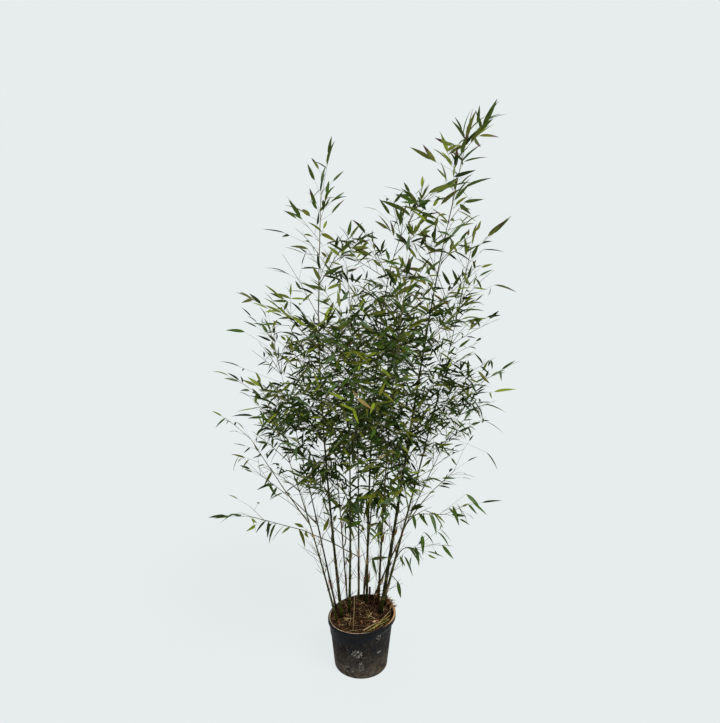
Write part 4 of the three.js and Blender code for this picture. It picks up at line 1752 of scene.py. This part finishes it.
def settled(corners):
    """The pot's corners, out of true and a little dented towards the mouth."""
    x, y, z = corners.T
    waves = np.sin(DENT_WAVES * np.arctan2(y, x) + DENT_TURN)
    dent = 1 - DENTS * up_wall(z) * (0.5 + 0.5 * waves) / POT_RIM
    lean = POT_LEAN * (1 - z / POT_HEIGHT)
    return np.stack((x * dent - lean, y * dent, z + slant(x, z)), axis=1)


lip_foot = POT_HEIGHT - LIP_HEIGHT
collar_foot = POT_HEIGHT - COLLAR_HEIGHT
body_top = COLLAR_FOOT - COLLAR_STEP
pot_outline = rounded([
    (POT_BASE - FOOT_INSET, 0),
    (POT_BASE, 0),
    (body_top, collar_foot - LEDGE_DROP),
    (COLLAR_FOOT, collar_foot),
    (COLLAR_TOP, lip_foot),
    (POT_RIM, lip_foot + LIP_LEDGE),
    (POT_RIM, POT_HEIGHT),
    (POT_RIM - POT_WALL - LIP_PROUD, POT_HEIGHT),
    (COLLAR_TOP - POT_WALL, lip_foot),
    (COLLAR_FOOT - POT_WALL, collar_foot + INNER_LEDGE[0]),
    (body_top - POT_WALL, collar_foot - INNER_LEDGE[1]),
    (POT_BASE - POT_WALL, POT_FLOOR),
    (POT_BASE - FLOOR_INSET, POT_FLOOR),
], EDGE_ROUND)
print("points in the pot's outline:", len(pot_outline))

# %% [markdown]
# ## Finish of the pot
# The plastic is a dark blue black, and only the collar still shows it clean. The body is brown and
# grey with dried splashes and rubbed strokes, palest near the ground. Cream dust lies on the inner
# side of the lip, most of it at the front left. A few pale scuffs sit on the front. All of this is
# made by masks over height, direction and noise, so that the dirt lies where dirt gathers. An image
# would be another way, but it would fix one set of marks at one size.

# %% Dust that lies thicker low down
def make_dust_group():
    group = Group(
        "dust", ["Colour", "Mask"],
        Clean_Colour=WHITE, Dust_Colour=WHITE, Thick_Below=0.05, Thin_Above=0.15, Least=0.1, Most=0.9,
        Patches_per_Metre=25.0, Slant=0.0,
    )
    given = group.given
    x, _, z = group.parts_of(group.place)
    fall = group.add(
        "MapRange", Value=group.minus(z, group.times(x, given["Slant"])), From_Min=given["Thick Below"],
        From_Max=given["Thin Above"], To_Min=given["Most"], To_Max=given["Least"],
    )
    patches = group.noise(group.place, given["Patches per Metre"], Detail=6.0, Roughness=0.7)
    share = group.times(group.spread(patches, gain=3.6, offset=-1.2), fall.outputs["Result"])
    return group.give(Mask=share, Colour=group.mix(share, given["Clean Colour"], given["Dust Colour"]))


dust_group = make_dust_group()

# %% Strokes that rubbing and splashes leave
STROKE_LEVEL = 0.78
STROKE_SHARE = 0.5
STROKE_WIDTH = 0.5


def make_stroke_group():
    """Broken strokes that all run one way. The turn is the angle they lean over, in radians."""
    group = Group(
        "strokes", ["Mask"], Turn=0.0, Strokes_per_Metre=160.0, Stretch=0.2, Share=0.3
    )
    lean = group.add("VectorRotate")
    lean.rotation_type = "Y_AXIS"
    group.feed_named(lean, {"Vector": group.place, "Angle": group.given["Turn"]})
    upright = group.squeezed(lean.outputs[0], STROKE_WIDTH, group.given["Stretch"])
    runs = group.noise(upright, group.given["Strokes per Metre"], Detail=3.0)
    level = group.minus(STROKE_LEVEL, group.times(group.given["Share"], STROKE_SHARE))
    return group.give(Mask=group.edge(group.minus(runs, level), sharpness=9.0))


stroke_group = make_stroke_group()

# %% A scuff at one place
SCUFF_DEPTH = 0.04
SCUFF_GAIN = 3.0
SCUFF_OFFSET = -0.9


def make_scuff_group():
    """A soft round mask at a centre, of a size given in metres. The hole opens its middle."""
    group = Group("scuff", ["Mask"], Centre=(0.0, 0.0, 0.0), Width=0.01, Height=0.01, Hole=0.0)
    given = group.given
    x, y, z = group.parts_of(group.vector("SUBTRACT", group.place, given["Centre"])[0])
    far = 0.0
    for part, size in ((x, given["Width"]), (z, given["Height"]), (y, SCUFF_DEPTH)):
        share = group.maths("DIVIDE", part, size)
        far = group.maths("MULTIPLY_ADD", share, share, far)
    breaks = group.noise(group.place, scale=240.0, Detail=3.0)
    ragged = group.maths("MULTIPLY_ADD", breaks, SCUFF_GAIN, SCUFF_OFFSET)
    patch = group.edge(group.minus(ragged, far), sharpness=2.2)
    hollow = group.edge(group.minus(far, given["Hole"]), sharpness=4.0)
    return group.give(Mask=group.times(patch, hollow))


scuff_group = make_scuff_group()

# %% Dust on the inner side of the lip
RAGGED = 0.006


def make_lip_group():
    """Dust inside a distance from the middle, above a height, and on one side of the pot."""
    group = Group(
        "lip_dust", ["Mask"], Outermost=0.137, Lowest=0.19, Side=(-0.6, -0.8, 0.0), Turn_Away=0.1
    )
    given = group.given
    flat = group.vector("MULTIPLY", group.place, (1.0, 1.0, 0.0))[0]
    radius = group.vector("LENGTH", flat)["Value"]
    facing = group.maths("DIVIDE", group.vector("DOT_PRODUCT", flat, given["Side"])["Value"], radius)
    beside = group.edge(group.minus(facing, given["Turn Away"]), sharpness=4.0)
    patches = group.noise(group.place, scale=120.0, Detail=3.0)
    sway = group.maths("MULTIPLY_ADD", patches, RAGGED, -RAGGED / 2)
    room = group.maths("ADD", group.minus(given["Outermost"], radius), sway)
    within = group.edge(room, sharpness=900.0)
    height = group.parts_of(group.place)[2]
    above = group.edge(group.minus(height, given["Lowest"]), sharpness=300.0)
    return group.give(Mask=group.times(group.times(within, above), beside))


lip_group = make_lip_group()

# %% Finish of the plastic
@dataclass
class Scuff:
    centre: tuple
    width: float
    height: float
    hole: float
    strength: float
    streaky: bool


@dataclass
class LipDust:
    side: tuple
    turn_away: float
    outermost: float
    lowest: float
    colour: tuple


SCUFFS = (
    Scuff((0.0665, -0.1153, 0.179), 0.0125, 0.012, 0.25, 0.8, False),
    Scuff((0.0668, -0.1029, 0.109), 0.009, 0.006, 0.0, 0.55, False),
    Scuff((-0.0193, -0.1217, 0.113), 0.027, 0.022, 0.0, 0.9, True),
    Scuff((-0.004, -0.1154, 0.053), 0.014, 0.034, 0.0, 0.45, True),
    Scuff((-0.052, -0.103, 0.035), 0.03, 0.02, 0.0, 0.3, True),
)
LIP_DUSTS = (
    LipDust((0.0, -1.0, 0.0), -1.0, 0.1322, 0.2, (116, 95, 73)),
    LipDust((-0.74, -0.67, 0.0), 0.42, 0.1348, 0.196, (200, 174, 142)),
    LipDust((0.99, -0.12, 0.0), 0.68, 0.1385, 0.212, (186, 150, 104)),
)
SCUFF_COLOUR = (178, 174, 166)
PLASTIC = (16, 18, 24)
EARTH = (29, 25, 20)
PALE_EARTH = (88, 78, 66)
STROKE_COLOUR = (112, 106, 98)
DARK_STROKE = (13, 12, 12)
LIP_DUST_SHOWS = 0.9
BODY_STROKES_SHOW = 0.5
DARK_STROKES_SHOW = 0.75
CLEAN_ROUGHNESS = 0.42
DUST_ROUGHER = 0.4


def pot_plastic():
    paint = Paint("pot_plastic", roughness=CLEAN_ROUGHNESS, specular=0.05)
    film = paint.use(
        dust_group, Clean_Colour=rgba(*PLASTIC), Dust_Colour=rgba(*EARTH), Thick_Below=0.155,
        Thin_Above=0.172, Least=0.1, Most=1.0, Patches_per_Metre=16.0, Slant=0.23,
    )
    low = paint.use(
        dust_group, Clean_Colour=film["Colour"], Dust_Colour=rgba(*PALE_EARTH), Thick_Below=0.0,
        Thin_Above=0.11, Least=0.05, Most=0.95, Patches_per_Metre=38.0,
    )
    upright = paint.use(stroke_group, Turn=0.15, Strokes_per_Metre=210.0, Stretch=0.18, Share=0.42)
    leaning = paint.use(stroke_group, Turn=-0.9, Strokes_per_Metre=260.0, Stretch=0.14, Share=0.4)
    dark = paint.use(stroke_group, Turn=0.7, Strokes_per_Metre=120.0, Stretch=0.2, Share=0.4)
    scratches = paint.use(stroke_group, Turn=-0.75, Strokes_per_Metre=230.0, Stretch=0.1, Share=0.66)
    body = paint.times(film["Mask"], BODY_STROKES_SHOW)
    layers = [
        (paint.times(upright["Mask"], body), PALE_EARTH),
        (paint.times(leaning["Mask"], body), STROKE_COLOUR),
        (paint.times(dark["Mask"], DARK_STROKES_SHOW), DARK_STROKE),
    ]
    for scuff in SCUFFS:
        mark = paint.use(
            scuff_group, Centre=scuff.centre, Width=scuff.width, Height=scuff.height, Hole=scuff.hole
        )
        share = paint.times(mark["Mask"], scuff.strength)
        if scuff.streaky:
            share = paint.times(share, scratches["Mask"])
        layers.append((share, SCUFF_COLOUR))
    for dust in LIP_DUSTS:
        strip = paint.use(
            lip_group, Outermost=dust.outermost, Lowest=dust.lowest, Side=dust.side,
            Turn_Away=dust.turn_away,
        )
        layers.append((paint.times(strip["Mask"], LIP_DUST_SHOWS), dust.colour))
    colour = low["Colour"]
    for share, layer_colour in layers:
        colour = paint.mix(share, colour, rgba(*layer_colour))
    paint.colour(colour)
    roughness = paint.maths("MULTIPLY_ADD", film["Mask"], DUST_ROUGHER, CLEAN_ROUGHNESS)
    paint.feed(paint.shader["Roughness"], roughness)
    paint.bump(paint.use(grain_group, Grains_per_Metre=110.0)["Height"], strength=0.5, depth=0.0016)
    return paint.material


batch = Batch()
corners, faces = turned(pot_outline, POT_SEGMENTS)
batch.add(settled(corners), faces)
pot_piece = batch.to_piece("nursery_pot", [pot_plastic()])
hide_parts("pot")

# %% [markdown]
# ## Soil and litter
# Brown potting soil fills the pot nearly to the lip, and is heaped a little against the back and
# the right. It is thatched with what a bamboo drops: straw, dry leaves and the papery sheaths of
# its canes. A disc with two sizes of noise makes the lumps, and the litter is laid on the same
# heights.

# %% Shape the soil
SOIL_RADIUS = 130.4
SOIL_RINGS = 44
SOIL_SEGMENTS = 120
SOIL_SUNK = 1
LUMPS = (0.028, 1.7, 3.6)
CRUMBS = (0.11, 5.1, 1.8)
HEAP_FROM = 70
HEAP_BACK = 11
HEAP_RIGHT = 12


def bumps(x, y, fineness, layer, rise):
    return noise.noise(Vector((x * fineness, y * fineness, layer))) * rise


def soil_height(x, y):
    """The height of the soil's surface, in millimetres."""
    radius = math.hypot(x, y)
    edge = max(0, radius - HEAP_FROM) / (SOIL_RADIUS - HEAP_FROM)
    heap = HEAP_BACK * max(0, y) / SOIL_RADIUS + HEAP_RIGHT * max(0, x) / SOIL_RADIUS
    return SOIL_TOP - SOIL_SUNK + bumps(x, y, *LUMPS) + bumps(x, y, *CRUMBS) + edge * heap


def soil_shape():
    corners = [(0, 0, soil_height(0, 0))]
    for ring in range(1, SOIL_RINGS + 1):
        for k in range(SOIL_SEGMENTS):
            angle = 2 * math.pi * k / SOIL_SEGMENTS
            radius = SOIL_RADIUS * ring / SOIL_RINGS
            x, y = radius * math.cos(angle), radius * math.sin(angle)
            corners.append((x, y, soil_height(x, y)))
    faces = [(0, 1 + k, 1 + (k + 1) % SOIL_SEGMENTS) for k in range(SOIL_SEGMENTS)]
    for ring in range(SOIL_RINGS - 1):
        for k in range(SOIL_SEGMENTS):
            low = 1 + ring * SOIL_SEGMENTS + k
            next_low = 1 + ring * SOIL_SEGMENTS + (k + 1) % SOIL_SEGMENTS
            faces.append((low, low + SOIL_SEGMENTS, next_low + SOIL_SEGMENTS, next_low))
    return np.array(corners), faces


soil_paint = rough_paint(
    "potting_soil", (54, 37, 25), (24, 15, 9), 0.95,
    patches=110.0, amount=1.0, grains=420.0, depth=0.003, specular=0.02,
)
batch = Batch()
batch.add(*soil_shape())
soil_piece = batch.to_piece("potting_soil", [soil_paint])
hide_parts("soil")

# %% Finishes of the litter
straw_paints = [
    rough_paint("straw_pale", (186, 164, 122), (140, 114, 78), roughness=0.7),
    rough_paint("straw_brown", (112, 78, 48), (70, 46, 30), roughness=0.75),
    rough_paint("straw_dark", (66, 44, 30), (42, 29, 22), roughness=0.8),
    rough_paint("straw_green", (150, 142, 66), (104, 96, 44), roughness=0.6, patches=50.0),
    rough_paint("sheath_red", (132, 78, 50), (92, 54, 38), roughness=0.7, patches=60.0),
]
PALE, BROWN, DARK, GREEN, RED = range(5)
print("litter finishes:", [paint.name for paint in straw_paints])

# %% Strew the litter
STRAWS = 1500
DRY_LEAVES = 90
LITTER_EDGE = 128
LITTER_SEED = SEED + 400
STRAW_LENGTH = (8, 46)
STRAW_RADIUS = (0.35, 1.0)
STRAW_TAPER = (0.7, 1, 0.5)
STRAW_SIDES = 3
STRAW_LIFT = 1
STRAW_TILT = 0.3
STRAW_DIP = 0.2
STRAW_SHARES = ((0.4, DARK), (0.8, BROWN), (0.93, PALE), (1.0, GREEN))
DRY_LEAF_LENGTH = (22, 48)
DRY_LEAF_RISE = 0.3
DRY_LEAF_LIFT = 2
DRY_LEAF_BEND = 0.7


def litter_spot(random):
    """A random place in the pot, and a direction round the compass."""
    x, y = (LITTER_EDGE * either_way(random) for _ in range(2))
    return x, y, math.tau * random()


def add_dry_leaf(batch, root, heading, normal, length, bend, finish):
    leaf = Leaf(root, heading, normal, length, bend, tone=0, stalk=0)
    batch.add(leaf_corners(leaf), one_leaf_faces, finish)


litter = Batch()
random = seeded(LITTER_SEED)
for _ in range(STRAWS):
    x, y, angle = litter_spot(random)
    offsets = np.linspace(-0.5, 0.5, 3) * mix(*STRAW_LENGTH, random() ** 2)
    xs = x + offsets * math.cos(angle)
    ys = y + offsets * math.sin(angle)
    tilt = STRAW_TILT * (random() - STRAW_DIP)
    ground = np.array([soil_height(*spot) for spot in zip(xs, ys)])
    zs = ground + STRAW_LIFT + tilt * (offsets - offsets[0])
    radius = mix(*STRAW_RADIUS, random())
    draw = random()
    straw = next(finish for top, finish in STRAW_SHARES if draw < top)
    if np.hypot(xs, ys).max() < LITTER_EDGE:
        radii = [radius * part for part in STRAW_TAPER]
        litter.add(*tube(np.stack((xs, ys, zs), axis=1), radii, STRAW_SIDES), straw)
for _ in range(DRY_LEAVES):
    x, y, angle = litter_spot(random)
    heading = unit(np.array((math.cos(angle), math.sin(angle), DRY_LEAF_RISE * random())))
    root = np.array((x, y, soil_height(x, y) + DRY_LEAF_LIFT))
    length = mix(*DRY_LEAF_LENGTH, random())
    tip = root + heading * length
    normal = leaf_normal(heading, random)
    straw = pick((DARK, BROWN, BROWN, RED, PALE), random)
    if max(math.hypot(x, y), math.hypot(tip[0], tip[1])) < LITTER_EDGE:
        add_dry_leaf(litter, root, heading, normal, length, DRY_LEAF_BEND, straw)
print("corners in the litter so far:", litter.count)

# %% Lay the stalks, the stubs and the sheaths that stand out
@dataclass
class Stick:
    start: tuple
    end: tuple
    arch: float
    girth: float
    paint: int


STICKS = [
    Stick((14, -112, 203), (112, -44, 212), 2, 3.4, GREEN),
    Stick((30, -100, 202), (116, -18, 214), 3, 3.0, GREEN),
    Stick((46, -92, 204), (120, 12, 216), 3, 2.6, PALE),
    Stick((6, -98, 201), (64, -52, 206), 2, 3.6, PALE),
    Stick((-6, -116, 201), (60, -104, 208), 3, 2.2, BROWN),
    Stick((16, 8, 200), (52, -30, 206), 3, 3.2, PALE),
    Stick((24, -12, 200), (44, 14, 206), 2, 2.4, PALE),
    Stick((-36, -106, 196), (-30, -92, 342), 0, 1.9, PALE),
    Stick((-74, 60, 196), (-66, 66, 360), 2, 1.3, PALE),
    Stick((-14, 84, 196), (-10, 92, 300), 1, 1.2, BROWN),
    Stick((44, 60, 196), (50, 70, 286), 1, 1.3, BROWN),
    Stick((32, 116, 196), (34, 118, 258), 0, 8.5, DARK),
    Stick((22, 96, 196), (20, 97, 236), 0, 7.5, DARK),
    Stick((-30, 88, 196), (-33, 90, 232), 0, 7.0, DARK),
    Stick((66, 34, 196), (69, 34, 226), 0, 7.0, DARK),
    Stick((-64, 66, 196), (-62, 52, 470), 3, 1.8, BROWN),
    Stick((-26, 60, 196), (-4, 74, 430), -4, 1.7, PALE),
    Stick((2, 40, 196), (10, 22, 400), 4, 1.5, BROWN),
    Stick((52, 90, 196), (74, 98, 480), 3, 1.8, PALE),
    Stick((30, 76, 196), (22, 84, 390), 3, 1.6, BROWN),
    Stick((-84, 40, 196), (-98, 30, 380), -3, 1.5, BROWN),
]
STICK_STEPS = 6
STICK_RINGS = 2
STICK_TAPER = 0.6
SHEATH_HEAP = (
    (104, 66), (92, 84), (112, 48), (84, 94), (118, 30), (98, 76), (70, 104), (108, 58), (60, 110),
)
HEAP_SHEATHS = 6
HEAP_FAN = 2.4
HEAP_OUTWARD = 0.7
HEAP_RISE = (0.3, 1.6)
HEAP_LIFT = 6
HEAP_STREW = 10
HEAP_LENGTH = (20, 44)
HEAP_BEND = 0.9

for stick in STICKS:
    path = line_of(np.array(stick.start, float), np.array(stick.end, float), stick.arch, STICK_STEPS)
    first = stick.girth / 2
    last = first if stick.paint == DARK else first * STICK_TAPER
    litter.add(*shoot_shape(path, first, last, STICK_RINGS, random), stick.paint)
for x, y in SHEATH_HEAP:
    for _ in range(HEAP_SHEATHS):
        angle = math.atan2(y, x) + HEAP_FAN * (random() - 0.5)
        level = HEAP_OUTWARD * np.array((math.cos(angle), math.sin(angle)))
        heading = unit(np.array((*level, mix(*HEAP_RISE, random()))))
        root = np.array((x, y, soil_height(x, y) + HEAP_LIFT)) + HEAP_STREW * (random() - 0.5)
        normal = leaf_normal(heading, random)
        straw = pick((RED, RED, BROWN, PALE), random)
        add_dry_leaf(litter, root, heading, normal, mix(*HEAP_LENGTH, random()), HEAP_BEND, straw)
litter_piece = litter.to_piece("litter", straw_paints)

# %% [markdown]
# ## Sheaths and dry twigs on the canes
# Low on the canes the side shoots have died back. What is left are short bare twigs at the rings
# and the papery remains of the sheaths that once wrapped each length. Both are grown from the same
# rings as the relief.

# %% Grow the sheaths and the dry twigs
DRY_BELOW = 640
DRY_LENGTH = (30, 140)
DRY_SHORT = 1.6
DRY_LEAN = (0.3, 0.9)
DRY_ARCH = -3
DRY_STEPS = 4
DRY_LOOK = (0.95, 0.4)
DRY_RINGS = 3
DRY_TWIGS_FEWER = 3
DRY_TWIGS_MORE = 4
FEWER_SHARE = 0.6
BROWN_SHARE = 0.6
SHEATH_SHARE = 0.75
SHEATH_OPEN = (0.1, 0.6)
SHEATH_LENGTH = (26, 62)
SHEATH_BEND = 0.5
REMAINS_SEED = SEED + 600

remains = Batch()
random = seeded(REMAINS_SEED)
for row, cane in zip(CANES, canes):
    for share in ring_shares(row, cane)[1:]:
        place = cane_curve(row, share)
        if place[2] > DRY_BELOW:
            break
        along = unit(cane_curve(row, share + CURVE_STEP) - place)
        side, upper = across(along, BACK)
        for _ in range(DRY_TWIGS_FEWER if random() < FEWER_SHARE else DRY_TWIGS_MORE):
            outward = leaned(side, upper, math.tau * random())
            heading = unit(leaned(along, outward, mix(*DRY_LEAN, random())))
            end = place + heading * mix(*DRY_LENGTH, random() ** DRY_SHORT)
            path = line_of(place, end, DRY_ARCH, DRY_STEPS)
            twig = shoot_shape(path, *DRY_LOOK, DRY_RINGS, random)
            remains.add(*twig, BROWN if random() < BROWN_SHARE else DARK)
        if random() < SHEATH_SHARE:
            outward = leaned(side, upper, math.tau * random())
            root = place + outward * slim_radius(row, share)
            heading = unit(along + outward * mix(*SHEATH_OPEN, random()))
            normal = unit(np.cross(np.cross(heading, outward), heading))
            length = mix(*SHEATH_LENGTH, random())
            straw = pick((PALE, BROWN, RED, PALE), random)
            add_dry_leaf(remains, root, heading, normal, length, SHEATH_BEND, straw)
remains_piece = remains.to_piece("sheaths_and_dry_twigs", straw_paints)

# %% [markdown]
# ## The CAD model's box
# Leaves whose tips stood outside the CAD model's box, with a little room, were left out. The finished
# plant has to fill the same box as the CAD model, give or take what thin leaves may stand proud. Here
# that box is printed.

# %% Print the CAD model's box
print("CAD box:", [[round(value, 3) for value in corner] for corner in cad_box])
